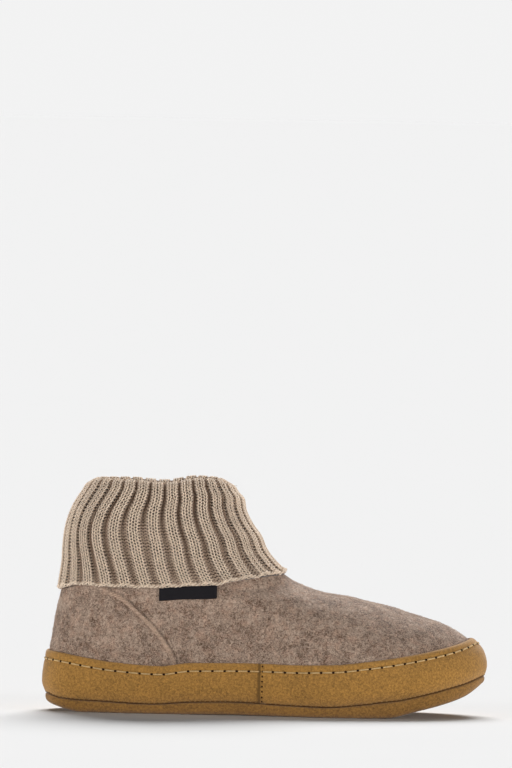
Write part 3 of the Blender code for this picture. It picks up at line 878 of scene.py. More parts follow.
def crease_depth(point, up, angle):
    """Depth of the soft dents, less the height of the swells, at points of the felt."""
    total = np.zeros_like(up)
    side = np.where(np.sin(angle) >= 0.0, 1, -1)
    along = point[..., 0] + LENGTH / 2
    height = up * COLLAR_HEIGHT
    for crease in CREASES:
        start = np.array([crease.along * LENGTH, crease.up * COLLAR_HEIGHT])
        end = np.array([crease.end_along * LENGTH, crease.end_up * COLLAR_HEIGHT])
        run = end - start
        share = ((along - start[0]) * run[0] + (height - start[1]) * run[1]) / (run @ run)
        share = np.clip(share, 0.0, 1.0)
        gap = np.hypot(along - start[0] - run[0] * share, height - start[1] - run[1] * share)
        fade = np.clip(np.abs(np.sin(angle)) * 3.0, 0.0, 1.0)
        total += np.where(side == crease.side, fade * crease.depth * bump_at(gap, crease.width), 0.0)
    return total


GROOVE_DEPTH = 0.0006  # beside the seam
LUMP_DEPTH = 0.00022  # soft unevenness of the felt
SEAM_STITCHES = 44  # oversewn threads on each side
SEAM_LOW = 0.35  # shares of the wall's height between which they lie
SEAM_HIGH = 0.72
TAB_MARGIN = 0.01  # share of the length beside the tab that is kept free of loose fibres


def felt_wall():
    """Rows of the felt from the sole to the collar outside, then down inside."""
    angles = foot_angles(FOOT_COLUMNS)
    rand = level_where(angles, rand_line)
    hem = level_where(angles, hem_line)
    under = [rand * share for share in (0.0, 0.3, 0.7)]
    side = [rand + (hem - rand) * share for share in np.linspace(0.0, 1.0, SIDE_ROWS)]
    above = [hem + (1.0 - hem) * share for share in (0.25, 0.5, 0.75, 1.0)]
    rows = np.array(under + side + above)
    columns = np.broadcast_to(angles, rows.shape)
    point = felt_point(columns, rows)
    seam = seam_distance(point, rows)
    shown = np.clip((rows - rand * 0.9) / 0.03, 0.0, 1.0) * np.clip((hem - rows) / 0.02, 0.0, 1.0)
    swell = np.clip(1.3 - 0.9 * rows, 0.5, 1.0) * (0.85 + 0.3 * np.sin(rows * 230.0))
    ridge = swell * SEAM_RELIEF * bump_at(seam, SEAM_WIDTH * 0.55)
    groove = GROOVE_DEPTH * bump_at(seam - SEAM_WIDTH * 0.60, SEAM_WIDTH * 0.30)
    rolling = np.sin(point[..., 0] * 190.0 + 1.0) * np.sin(point[..., 2] * 230.0 + point[..., 1] * 90.0)
    lump = LUMP_DEPTH * rolling
    out = (ridge - groove - crease_depth(point, rows, columns) + lump) * shown
    outside = felt_surface(columns, rows, out)
    inner_rows = np.array([np.ones_like(angles), hem * 0.9, hem * 0.7, rand * 1.2, rand * 0.6, rand * 0.0])
    inner_columns = np.broadcast_to(angles, inner_rows.shape)
    inside = felt_surface(inner_columns, inner_rows, -FELT_THICKNESS)
    fuzz = np.where((rows > rand * 1.06) & (rows < hem * 0.985), 1.0, 0.0)
    along = share_along(point[..., 0])
    tab = (np.sin(columns) < 0.0) & (along > TAB_START - TAB_MARGIN) & (along < TAB_END + TAB_MARGIN)
    fuzz = np.where(tab & (point[..., 2] > hem_height(point[..., 0]) - TAB_FRONT_DROP - 0.002), 0.0, fuzz)
    marks = {
        "fuzz": fuzz,
        "ridge": bump_at(seam, SEAM_WIDTH * 0.6) * shown,
        # painted shade in the groove beside the seam
        "dark": bump_at(seam - SEAM_WIDTH * 0.60, SEAM_WIDTH * 0.26) * shown,
    }
    plain = np.zeros_like(inner_rows)
    marks = {label: np.concatenate([values, plain]) for label, values in marks.items()}
    return stack(np.concatenate([outside, inside]), True, **marks)


def seam_path(side):
    """Points, outward and along directions on the back-part seam of one side."""
    up = np.linspace(SEAM_LOW, SEAM_HIGH, SEAM_STITCHES)
    path = smooth(SEAM, up).along
    angle = angle_at(path, up)
    if side < 0:
        angle = 2 * math.pi - angle
    places = felt_surface(angle, up, SEAM_RELIEF * 0.6)
    return places, felt_normal(angle, up), unit(np.gradient(places, axis=0))


# Rand and sole

STITCH_DROP = 0.0055  # under the rand's top edge at the heel
STITCH_DROP_TOE = 0.0041
SOLE_STITCH_PITCH = 0.0031
SOLE_STITCH_LEVEL = 0.004  # share of the wall's height
BAND_SWELL = 0.0004
PUCKER_DEPTH = 0.00042  # trough of the running stitch
PUCKER_WIDTH = 0.0017


def stitch_height(angle, up, x):
    return rand_top(x) - STITCH_DROP - (STITCH_DROP_TOE - STITCH_DROP) * share_along(x)


LAP_ANGLE = float(2 * math.pi - angle_at(LAP_ALONG, LAP_TOP_LEVEL))


def lap_lift(angle):
    """Height of the band's toe end, which lies over its heel end and settles away from the join."""
    past = angle - LAP_ANGLE
    return np.where(past > 0.004, LAP_STEP * np.clip(1.0 - past / 0.35, 0.0, 1.0), 0.0)


def even_line(angles, heights, out, pitch, start=0.0):
    """Places at an even pitch on a line round the rand, with outward and along directions."""
    fine = np.linspace(0.0, 2 * math.pi, 3601)
    level = np.interp(fine, np.append(angles, 2 * math.pi), np.append(heights, heights[0]))
    points = felt_surface(fine, level, out)
    lengths = travelled(np.linalg.norm(np.diff(points, axis=0), axis=-1))
    count = round(lengths[-1] / pitch)
    places = (np.arange(count) + start) * lengths[-1] / count % lengths[-1]
    angle = np.interp(places, lengths, fine)
    up = np.interp(angle, fine, level)
    out = out + lap_lift(angle)
    spot = felt_surface(angle, up, out)
    ahead = felt_surface(angle + 0.004, np.interp(angle + 0.004, fine, level), out)
    return spot, felt_normal(angle, up), unit(ahead - spot)


def lap_columns(angles, up):
    """Angles of mesh columns at a level: those near the lap follow its upright line."""
    drift = 2 * math.pi - angle_at(LAP_ALONG, np.minimum(up, LAP_TOP_LEVEL)) - LAP_ANGLE
    return angles + drift * bump_at(angles - LAP_ANGLE, 0.5)


def band_face(share):
    """Distance of the band's face from the felt at a share of its height: it swells in the middle."""
    swell = BAND_SWELL * np.sin(math.pi * np.minimum(1.0, np.asarray(share) / 0.75))
    return CLEARANCE + RAND_THICKNESS + swell


def rand_band():
    """Suede band: rounded top, trough and puckers at the stitch line, and the step of the lap."""
    angles = foot_angles(FOOT_COLUMNS)
    nearest = np.argmin(np.abs(angles - LAP_ANGLE))
    angles[nearest] = LAP_ANGLE + 0.0005
    angles[nearest + 1] = LAP_ANGLE + 0.0075
    top = level_where(angles, rand_line)
    line = level_where(angles, stitch_height)
    shares = np.concatenate([np.linspace(0.0, 0.95, 20), [0.975, 0.992, 1.0]])
    rings = []
    wears = []
    for share in shares:
        up = top * share
        columns = lap_columns(angles, up)
        edge = max(0.0, (share - 0.94) / 0.06)
        out = band_face(share) - RAND_THICKNESS * 0.55 * edge ** 2 + np.zeros_like(angles)
        gap = (up - line) * COLLAR_HEIGHT
        out = out - PUCKER_DEPTH * bump_at(gap, PUCKER_WIDTH)
        out = out - 0.0003 * (share < 0.02)
        out = out + lap_lift(angles)
        rings.append(felt_surface(columns, up, out))
        # painted shade in the trough of the stitch line; a little lighter above that line and on the
        # rounded top edge
        band_shading = 0.5 + 0.03 * edge + 0.04 * (gap > 0.0) - 0.12 * bump_at(gap, 0.0016)
        # painted shadow of the lap's step beside the join
        lap_shade = np.where(np.abs(angles - LAP_ANGLE - 0.003) < 0.006, 0.42, 0.0)
        # darker at the band's foot, next to the sole
        low = 0.10 * max(0.0, 1.0 - share / 0.08)
        wears.append(np.clip(band_shading - lap_shade - low, 0.0, 1.0))
    # rings of the band's inside, darker
    for share in (0.99, 0.6, 0.25, 0.0):
        up = top * share
        rings.append(felt_surface(lap_columns(angles, up), up, CLEARANCE + np.zeros_like(angles)))
        wears.append(np.full_like(angles, 0.3))
    return stack(rings, True, wear=wears)


def sole_plate():
    """Suede sole with a rounded edge; rings run from the middle of the tread out and up."""
    angles = foot_angles(SOLE_COLUMNS)
    profile = ((0.0, 1.0), (0.03, 0.70), (0.10, 0.42), (0.22, 0.22), (0.38, 0.09), (0.56, 0.02))
    profile += ((0.74, 0.0), (0.88, 0.03), (1.0, 0.14))
    rings = []
    wears = []
    for height, inset in profile:
        edge = felt_surface(angles, 0.0, CLEARANCE + RAND_THICKNESS - SOLE_ROUNDING * inset)
        x, y, _ = np.moveaxis(edge, -1, 0)
        bottom = underside(x, y)
        rings.append(np.stack([x, y, bottom + (sole_top(x, y) - bottom) * height], axis=-1))
        # painted shade on the sole's underside; the top ring, where the sole meets the rand, is darker too
        wears.append(np.full_like(angles, 0.5 - 0.08 * (height > 0.9) - 0.1 * (height < 0.05)))
    return stack(rings, False, wear=wears)


def footbed():
    """Felt footbed with a soft crown, inside the foot of the wall."""
    angles = foot_angles(FOOTBED_COLUMNS)
    rings = []
    for height, inset in ((0.0, 0.0), (0.7, 0.0), (1.0, 0.0012)):
        out = -FELT_THICKNESS - CLEARANCE - inset
        x, y, _ = np.moveaxis(felt_surface(angles, 0.0, out + np.zeros_like(angles)), -1, 0)
        rings.append(np.stack([x, y, seat(x, y) + INSOLE_THICKNESS * height], axis=-1))
    return stack(rings, False)


# Knit cuff

BODY_INSET = 0.0011  # depth of the near-black body under the yarn, painted shade between the loops
BODY_EDGE_INSET = 0.0014
HAIR_DENSITY = 13500.0  # hairs on a square metre of knit
COARSE_FROM = 0.62  # share of the sheet from which the yarn is made more coarsely


def leaned(angle, rise):
    """Angle of a rib at a height: on the outer side the back ribs sag towards the heel."""
    near = np.maximum(0.0, 1.0 - ((angle - LEAN_MIDDLE) / LEAN_SPREAD) ** 2)
    bow = np.sin(math.pi * np.clip(rise, 0.0, 1.0)) ** 2
    level = smooth(CUFF_LEVELS, 0.5)
    half_length = LENGTH * (level.front - level.back) / 2
    return angle - CUFF_LEAN / half_length * near * near * bow


def cuff_point(angle, rise, depth, drop=0.0):
    """Point of the cuff at a depth under its outside, from the hem, 0, to the fold, 1."""
    leaning = leaned(angle, rise)
    level = smooth(CUFF_LEVELS, np.full_like(angle, rise))
    place, ahead, behind = (
        np.stack(oval(level, leaning + turn, KNIT_THICKNESS), axis=-1) for turn in (0.0, TURN, -TURN))
    along = unit(ahead - behind)
    place = place - np.stack([along[..., 1], -along[..., 0]], axis=-1) * depth
    low = hem_height(oval(smooth(CUFF_LEVELS, np.zeros_like(angle)), angle, KNIT_THICKNESS)[0])
    high = fold_height(oval(smooth(CUFF_LEVELS, np.ones_like(angle)), angle, KNIT_THICKNESS)[0])
    return np.concatenate([place, (low + (high - low) * rise - drop)[..., None]], axis=-1)


def follow(rows, count):
    """A stack of rows made into count rows, evenly apart on smooth curves through them."""
    knots = travelled(np.linalg.norm(np.diff(rows, axis=0), axis=-1).mean(axis=1))
    tangents = np.gradient(rows, knots, axis=0)
    places = np.linspace(0.0, knots[-1], count)
    index = np.clip(np.searchsorted(knots, places, side="right") - 1, 0, len(knots) - 2)
    span = (knots[index + 1] - knots[index])[:, None, None]
    t = (places - knots[index])[:, None, None] / span
    leave = tangents[index] * span
    arrive = tangents[index + 1] * span
    return eased(rows[index], rows[index + 1], leave, arrive, t), knots[-1]


def rib_angle(rib):
    """Angle at a rib coordinate, whose whole numbers are troughs."""
    level = smooth(CUFF_LEVELS, 0.5)
    starts = even_angles(lambda angle: oval(level, angle, KNIT_THICKNESS), RIB_COUNT)
    starts = np.append(starts, starts[1] + 2 * math.pi)
    return np.interp(rib + 1.0 - RIB_SHIFT, np.arange(RIB_COUNT + 2), starts)


class KnitSheet:
    """The knit's smooth surface from the hem, over the fold, down to its inner edge."""

    fine = 16  # grid columns for each rib
    rows = 260

    def __init__(self):
        angle = rib_angle(np.arange(RIB_COUNT * self.fine) / self.fine)
        section = [cuff_point(angle, rise, 0.0) for rise in CUFF_ROWS]
        for row in FOLD:
            section.append(cuff_point(angle, 1.0, FOLD_THICKNESS * row.depth, FOLD_THICKNESS * row.drop))
        section += [cuff_point(angle, rise, FOLD_THICKNESS) for rise in CUFF_INNER_ROWS]
        inner_face = -FELT_THICKNESS - SLOT_CLEARANCE - KNIT_THICKNESS
        bottom = 1.0 - INNER_LEG_DROP / COLLAR_HEIGHT
        section += [felt_surface(angle, up + 0.0 * angle, inner_face) for up in (1.0, bottom)]
        self.points, self.length = follow(np.array(section), self.rows)
        across = np.roll(self.points, -1, axis=1) - np.roll(self.points, 1, axis=1)
        self.pitch = np.linalg.norm(across, axis=-1) / 2 * self.fine
        self.normals = unit(np.cross(across, np.gradient(self.points, axis=0)))
        self.top = np.argmax(self.points[..., 2].mean(axis=1)) / (self.rows - 1)

    def look_up(self, grid, rib, share):
        """Value of a grid at a rib coordinate and a share of the sheet's length."""
        column = np.asarray(rib, float) * self.fine
        row = np.clip(np.asarray(share, float), 0.0, 1.0) * (self.rows - 1)
        left = np.floor(column).astype(int)
        low = np.clip(np.floor(row).astype(int), 0, self.rows - 2)
        across = (column - left)[..., None]
        up = (row - low)[..., None]
        width = RIB_COUNT * self.fine
        near = grid[low, left % width] * (1 - up) + grid[low + 1, left % width] * up
        far = grid[low, (left + 1) % width] * (1 - up) + grid[low + 1, (left + 1) % width] * up
        return near * (1 - across) + far * across

    def ribbed(self, wale, share, sizes):
        """Point, outward direction and depth share at a wale coordinate, four wales to a rib."""
        rib = np.floor(wale / 4.0)
        within = wale - 4.0 * rib
        pitch = self.look_up(self.pitch[..., None], rib + 0.5, share)[..., 0]
        crest = np.clip(sizes.crest_width / pitch, 0.50, 0.76)
        narrow = np.clip((0.0125 - pitch) / 0.0035, 0.0, 1.0)
        place = np.where(within < 2.0, crest * within / 2.0, crest + (1.0 - crest) * (within - 2.0) / 2.0)
        spot = rib + 0.5 - crest / 2.0 + place
        aside = np.abs((within - 1.0 + 2.0) % 4.0 - 2.0)
        edge = np.clip((aside - 0.70) / 0.85, 0.0, 1.0)
        hollow = edge * edge * (3.0 - 2.0 * edge)
        outside = np.clip((self.top + 0.08 - share) / 0.1, 0.0, 1.0)
        hem = np.clip(share / 0.05, 0.0, 1.0)
        fold = 1.0 - 0.5 * bump_at(share - self.top, 0.09)
        groove = 0.10 * bump_at(aside, 0.25)
        depth = (hollow * (0.8 + 0.4 * narrow) + groove) * sizes.rib_depth
        depth = depth * (0.35 + 0.65 * hem) * (0.4 + 0.6 * outside) * fold
        point = self.look_up(self.points, spot, share)
        normal = self.look_up(self.normals, spot, share)
        # the third value, the share in the trough, darkens the yarn: painted shade over its browner tone,
        # stronger where the troughs are narrow and deep
        return point - normal * depth[..., None], normal, hollow * (0.72 + 0.38 * narrow)


def tube_points(path, outward, radius, sides):
    """Rings of points round a closed path, one for each of its points."""
    along = unit(np.roll(path, -1, axis=0) - np.roll(path, 1, axis=0))
    across = unit(np.cross(along, outward))
    up = np.cross(across, along)
    turns = (np.arange(sides) + 0.5) * 2 * math.pi / sides
    ring = np.cos(turns)[None, :, None] * across[:, None] + np.sin(turns)[None, :, None] * up[:, None]
    return path[:, None] + radius * ring


def knit_courses(sheet, sizes, courses, total, samples, sides, seed):
    """Yarn of some courses: each is one closed line of loops round the cuff."""
    chance = np.random.default_rng(seed)
    stitch = np.arange(4 * RIB_COUNT * samples) / samples
    turn = 2 * math.pi * stitch
    within = stitch % 4.0
    face = np.clip(np.minimum(within, 2.0 - within) * 5.0, -1.0, 1.0)
    face = np.where(within > 2.0, -np.clip(np.minimum(within - 2.0, 4.0 - within) * 5.0, 0.0, 1.0), face)
    points = []
    hollows = []
    for course in courses:
        lean = 0.18 * chance.standard_normal(4 * RIB_COUNT)
        sway = np.interp(stitch, np.arange(4 * RIB_COUNT) + 0.5, 0.2 * lean)
        wale = stitch + sizes.loop_sway * np.sin(2.0 * turn) + sway
        row = course + 0.5 - sizes.loop_height * np.cos(turn) + 0.05 * np.sin(stitch * 0.37 + course)
        share = row / total
        point, normal, hollow = sheet.ribbed(wale, share, sizes)
        lift = -face * np.cos(2.0 * turn) * sizes.loop_depth - 0.0005
        # painted shade on the parts of each loop that lie behind, its sunk heads
        sunk = 0.5 + 0.5 * face * np.cos(2.0 * turn)
        path = point + normal * lift[:, None]
        points.append(tube_points(path, normal, sizes.yarn_radius, sides))
        hollows.append(np.repeat(np.clip(0.85 * hollow + 0.40 * sunk, 0.0, 1.0), sides))
    rings = np.array(points)
    count = rings.shape[1]
    one = ring_quads(count, sides, closed=True)
    quads = np.concatenate([one + index * count * sides for index in range(len(points))])
    return rings, quads, {"hollow": np.array(hollows)}


def knit_body(sheet, sizes):
    """Closed knit body under the yarn, near black for painted shade seen between the loops: ribbed
    outside, and a plain slot for the felt.
    """
    wale = np.arange(RIB_COUNT * 8) / 2.0
    shares = np.linspace(0.0, 1.0, 64)
    rings = []
    hollows = []
    for share in shares:
        point, normal, hollow = sheet.ribbed(wale, np.full_like(wale, share), sizes)
        inset = BODY_INSET if 0.0 < share < 1.0 else BODY_EDGE_INSET
        rings.append(point - normal * inset)
        hollows.append(hollow)
    angle = rib_angle(wale / 4.0 + 0.25)
    inner_face = -FELT_THICKNESS - SLOT_CLEARANCE
    bottom = 1.0 - INNER_LEG_DROP / COLLAR_HEIGHT
    roof = np.array([0.0, 0.0, SLOT_CLEARANCE])
    rings.append(felt_surface(angle, bottom + 0.0 * angle, inner_face))
    rings.append(felt_surface(angle, 1.0 + 0.0 * angle, inner_face) + roof)
    rings.append(felt_surface(angle, 1.0 + 0.0 * angle, SLOT_CLEARANCE) + roof)
    hem = level_where(angle, hem_line)
    for share in (0.8, 0.6, 0.3, 0.0):
        rings.append(felt_surface(angle, hem + (1.0 - hem) * share, SLOT_CLEARANCE))
    hollows += [np.ones_like(wale)] * 7
    return stack(rings, True, hollow=hollows, fuzz=np.ones((len(rings), len(wale))))


def cast_off(sheet, sizes):
    """Two strands twisted along the hem, where the knit is cast off."""
    wale = np.arange(4 * RIB_COUNT * 10) / 10.0
    parts = []
    upward = np.array([0.0, 0.0, 1.0])
    radius = sizes.yarn_radius * 1.35
    for strand in (0.0, math.pi):
        point, normal, _ = sheet.ribbed(wale, np.full_like(wale, 0.001), sizes)
        turn = 2 * math.pi * wale * 0.5 + strand
        wave = 0.00045 * np.sin(math.pi * wale / 2.0) + 0.0003 * np.sin(wale * 0.83 + 1.0)
        path = point + normal * (np.cos(turn) * radius - 0.0004)[:, None]
        path = path + upward * (np.sin(turn) * radius + 0.0007 + wave)[:, None]
        parts.append(tube_points(path, normal, sizes.yarn_radius * 1.15, 5))
    rings = np.array(parts)
    one = ring_quads(rings.shape[1], 5, closed=True)
    quads = np.concatenate([one, one + rings.shape[1] * 5])
    return rings, quads, {"hollow": np.zeros(rings.shape[:3])}


# Woven tab

def tab_slab():
    """Bare woven tab on the outer side, its lower edge turned under and its ends bound."""
    columns = 48
    rows = 14
    along = np.linspace(TAB_START, TAB_END, columns)[None, :]
    share = np.linspace(0.0, 1.0, columns)[None, :]
    step = np.linspace(0.0, 1.0, rows)[:, None]
    x = LENGTH * (along - 0.5)
    bottom = hem_height(x) - TAB_BACK_DROP - (TAB_FRONT_DROP - TAB_BACK_DROP) * share
    top = hem_height(x) + 0.0005
    height = bottom + (top - bottom) * step
    foot = seat(x, -BALL_WIDTH / 3 + 0.0 * x)
    up = (height - foot) / (COLLAR_HEIGHT - foot)
    angle = 2 * math.pi - angle_at(along + 0.0 * up, up)
    edge = np.minimum(np.minimum(share, 1.0 - share) * 35.0, step * 8.8)
    rim = 0.00012 * bump_at(edge - 1.2, 0.8)
    crown = TAB_THICKNESS * (0.55 + 0.45 * np.clip(edge, 0.0, 1.0)) + rim
    outside = felt_surface(angle, up, CLEARANCE + 0.0003 + crown)
    inside = felt_surface(angle, up, CLEARANCE + 0.0001 + 0.0 * crown)
    points = np.concatenate([outside.reshape(-1, 3), inside.reshape(-1, 3)])
    grid = np.arange(rows * columns).reshape(rows, columns)
    near = np.stack([grid[:-1, :-1], grid[:-1, 1:], grid[1:, 1:], grid[1:, :-1]], axis=-1).reshape(-1, 4)
    back = near[:, ::-1] + rows * columns
    rim_line = np.concatenate([grid[0, :-1], grid[:-1, -1], grid[-1, :0:-1], grid[:0:-1, 0]])
    after = np.roll(rim_line, -1)
    sides = np.stack([after, rim_line, rim_line + rows * columns, after + rows * columns], axis=-1)
    return points, np.concatenate([near, back, sides])


# Stitches and needle holes

def sewn(name, spots, thread, slot, **sizes):
    """Stitches of thread at spots, which are places with their outward and along directions."""
    placed(grow_on_points(name, *spots, shared("Thread stitches", thread_tree), thread, **sizes), slot)


def pierced(name, spots, dark, radius):
    holes = grow_on_points(name, *spots, shared("Needle holes", hole_tree), dark, hole_radius=radius)
    placed(holes, "rand_suede")


# Settings

BACKDROP = (0.892, 0.892, 0.892)  # what the lit floor looks like from the camera
SKY_STRENGTH = 0.06
FLOOR_REACH = 60.0
FLOOR_CORNERS = ((-1, -1, 0), (1, -1, 0), (1, 1, 0), (-1, 1, 0))

# Soft suns: name, strength, and in degrees how wide, how far turned from the camera and how high
LAMPS = (
    ("back", 4.3, 36.0, 176.0, 43.0),
    ("left", 2.06, 18.0, -60.0, 4.0),
    ("right", 2.14, 18.0, 60.0, 4.5),
)


def size_property(label, words, value, low, high, unit="LENGTH"):
    return bpy.props.FloatProperty(
        name=label, description=words, default=value, min=low, max=high, unit=unit)


def colour_property(label, words, value):
    return bpy.props.FloatVectorProperty(
        name=label, description=words, subtype="COLOR", size=3, default=value, min=0.0, max=1.0)


class SlipperSizes(bpy.types.PropertyGroup):
    stitch_pitch: size_property("Stitch Pitch", "From one needle hole to the next", 0.0074, 0.002, 0.03)
    thread_radius: size_property("Thread Radius", "Half the rand's thread", 0.00044, 0.0001, 0.002)
    hole_radius: size_property("Hole Radius", "Half a needle hole", 0.00090, 0.0001, 0.002)
    course_pitch: size_property("Course Pitch", "Height of one row of the knit", 0.0019, 0.0012, 0.01)
    yarn_radius: size_property("Yarn Radius", "Half the yarn's thickness", 0.00043, 0.0001, 0.003)
    rib_depth: size_property("Rib Depth", "Depth of the troughs between the ribs", 0.0024, 0.0, 0.01)
    crest_width: size_property("Crest Width", "Width of a rib's raised wales", 0.0068, 0.001, 0.02)
    loop_sway: size_property("Loop Sway", "Sideways swing, as a share of a wale", 0.27, 0.0, 0.4, "NONE")
    loop_height: size_property("Loop Height", "Half the height of a loop, in rows", 0.80, 0.3, 1.2, "NONE")
    loop_depth: size_property("Loop Depth", "How far a loop's legs stand out", 0.0007, 0.0, 0.002)
    fibre_density: size_property(
        "Fibre Density", "Loose fibres on a square metre of felt", 90000.0, 0.0, 1000000.0, "NONE")


class SlipperColours(bpy.types.PropertyGroup):
    felt: colour_property("Felt", "Wool felt of the upper", (0.300, 0.215, 0.160))
    footbed: colour_property("Footbed", "Felt inside the slipper", (0.36, 0.28, 0.21))
    yarn: colour_property("Yarn", "Yarn of the cuff", (1.0, 0.805, 0.620))
    # yarn deep in the troughs: its browner tone with painted shade
    yarn_shade: colour_property("Yarn Shade", "Yarn in the troughs", (0.30, 0.185, 0.115))
    rand: colour_property("Rand", "Suede of the rand", (0.355, 0.178, 0.036))
    sole: colour_property("Sole", "Suede of the sole", (0.262, 0.128, 0.027))
    thread: colour_property("Thread", "Thread of the rand", (0.62, 0.43, 0.20))
    # painted shade inside a needle hole
    hole: colour_property("Hole", "Inside of a needle hole", (0.030, 0.012, 0.004))
    tab: colour_property("Tab", "Woven tab", (0.010, 0.009, 0.011))
    floor: colour_property("Floor", "Floor and backdrop", (0.805, 0.805, 0.805))


class Step:
    """Shared by the build steps: each builds its own pieces from the settings."""

    def execute(self, context):
        self.build(context.scene.slipper_sizes, context.scene.slipper_colours)
        return {"FINISHED"}


class SLIPPER_OT_upper(Step, bpy.types.Operator):
    """Felt upper with its raised seam, soft creases and loose fibres"""

    bl_idname = "slipper.upper"
    bl_label = "Build Felt Upper"

    def build(self, sizes, colours):
        rings, quads, values = felt_wall()
        wool = felt_finish("Wool felt", colours.felt)
        upper = mesh_piece("felt_upper", rings, quads, wool, values)
        pale = plain_finish("Pale fibre", shade(colours.felt, 1.9), 0.95)
        fibres = grown("felt_fibres", upper, fibre_tree(), pale, density=sizes.fibre_density)
        placed(upper, "wool_felt", "upper")
        placed(fibres, "wool_felt")
        thread = plain_finish("Seam thread", shade(colours.felt, 1.9), 0.9)
        for side, label in ((-1, "outer"), (1, "inner")):
            places, outward, along = seam_path(side)
            slant = unit(along + 0.9 * np.cross(outward, along))
            sewn(
                "seam_threads_" + label, (places, outward, slant), thread, "wool_felt",
                stitch_length=0.0030, thread_radius=0.00030, bow=0.0004, dive=0.0006)


class SLIPPER_OT_rand(Step, bpy.types.Operator):
    """Suede rand with its lap join, running stitch and needle holes"""

    bl_idname = "slipper.rand"
    bl_label = "Build Rand"

    def build(self, sizes, colours):
        rings, quads, values = rand_band()
        band = mesh_piece("rand_band", rings, quads, suede_finish("Rand suede", colours.rand), values)
        placed(band, "rand_suede", "rand")
        angles = foot_angles(LINE_COLUMNS)
        line = level_where(angles, stitch_height)
        face = CLEARANCE + RAND_THICKNESS - 0.00025
        thread = plain_finish("Rand thread", colours.thread, 0.7)
        spots = even_line(angles, line, face, sizes.stitch_pitch, 0.5)
        sewn(
            "rand_stitches", spots, thread, "rand_suede", stitch_length=sizes.stitch_pitch * 0.80,
            thread_radius=sizes.thread_radius, bow=0.0004, dive=0.0003)
        # near-black finish of the needle holes: painted shade
        dark = plain_finish("Needle hole", colours.hole, 0.95)
        spots = even_line(angles, line, face + 0.0002, sizes.stitch_pitch, 0.0)
        pierced("rand_holes", spots, dark, sizes.hole_radius)
        self.lap_holes(sizes, dark)

    def lap_holes(self, sizes, dark):
        """Upright row of small holes beside the lap join."""
        lap = LAP_ALONG + 0.0023 / LENGTH
        share = np.linspace(0.06, 0.93, 8)
        top = level_where(LAP_ANGLE + np.zeros(1), rand_line)[0]
        up = top * share
        angle = 2 * math.pi - angle_at(lap, up)
        places = felt_surface(angle, up, band_face(share) + LAP_STEP)
        outward = felt_normal(angle, up)
        upright = np.tile([0.0, 0.0, 1.0], (len(up), 1))
        pierced("lap_holes", (places, outward, upright), dark, sizes.hole_radius * 0.75)


class SLIPPER_OT_sole(Step, bpy.types.Operator):
    """Suede sole, felt footbed and the fine seam between sole and rand"""

    bl_idname = "slipper.sole"
    bl_label = "Build Sole"

    def build(self, sizes, colours):
        rings, quads, values = sole_plate()
        suede = suede_finish("Sole suede", colours.sole)
        sole = mesh_piece("suede_sole", rings, quads, suede, values, end_caps(rings))
        placed(sole, "sole_suede", "outsole")
        rings, quads, values = footbed()
        wool = felt_finish("Footbed felt", colours.footbed, 0.25)
        bed = mesh_piece("felt_footbed", rings, quads, wool, values, end_caps(rings))
        placed(bed, "footbed_felt", "insole")
        angles = foot_angles(LINE_COLUMNS)
        level = np.full_like(angles, SOLE_STITCH_LEVEL)
        spots = even_line(angles, level, CLEARANCE + RAND_THICKNESS - 0.0002, SOLE_STITCH_PITCH)
        thread = plain_finish("Sole thread", shade(colours.sole, 0.78), 0.9)
        sewn(
            "sole_stitches", spots, thread, "sole_suede",
            stitch_length=0.0024, thread_radius=0.00024, bow=0.0002, dive=0.0004)


class SLIPPER_OT_cuff(Step, bpy.types.Operator):
    """Ribbed knit cuff: its near-black body of painted shade under the loops, its courses of yarn, the
    cast-off edge and stray hairs
    """

    bl_idname = "slipper.cuff"
    bl_label = "Build Knit Cuff"

    def build(self, sizes, colours):
        sheet = KnitSheet()
        # colour of the troughs: browner yarn with painted shade
        deep = shade(colours.yarn_shade, 1.0)
        yarn = yarn_finish("Cuff yarn", colours.yarn, deep)
        # near-black body under the loops: painted shade seen between them
        gap_shade = yarn_finish("Cuff ground", shade(colours.yarn, 0.045), shade(deep, 0.16))
        rings, quads, values = knit_body(sheet, sizes)
        body = mesh_piece("cuff_body", rings, quads, gap_shade, values)
        hairs = grown(
            "cuff_hairs", body, fibre_tree(), yarn, density=HAIR_DENSITY, fibre_length=0.004, lift=0.0014)
        placed(body, "cuff_knit", "knit_cuff")
        placed(hairs, "cuff_knit")
        total = round(sheet.length / sizes.course_pitch)
        fine = round(total * COARSE_FROM)
        groups = (
            ("knit_lower", range(0, fine * 2 // 5), 10, 4),
            ("knit_middle", range(fine * 2 // 5, fine * 4 // 5), 10, 4),
            ("knit_fold", range(fine * 4 // 5, fine), 10, 4),
            ("knit_inside", range(fine, total), 8, 3),
        )
        for seed, (label, courses, samples, sides) in enumerate(groups):
            rings, quads, values = knit_courses(sheet, sizes, courses, total, samples, sides, seed)
            placed(mesh_piece(label, rings, quads, yarn, values), "cuff_knit")
        rings, quads, values = cast_off(sheet, sizes)
        placed(mesh_piece("cast_off_edge", rings, quads, yarn, values), "cuff_knit")


class SLIPPER_OT_tab(Step, bpy.types.Operator):
    """Small bare woven tab under the hem of the cuff"""

    bl_idname = "slipper.tab"
    bl_label = "Build Woven Tab"

    def build(self, sizes, colours):
        weave = weave_finish("Tab weave", colours.tab)
        points, quads = tab_slab()
        placed(mesh_piece("bare_tab", points, quads, weave), "tab_weave", "woven_tab")


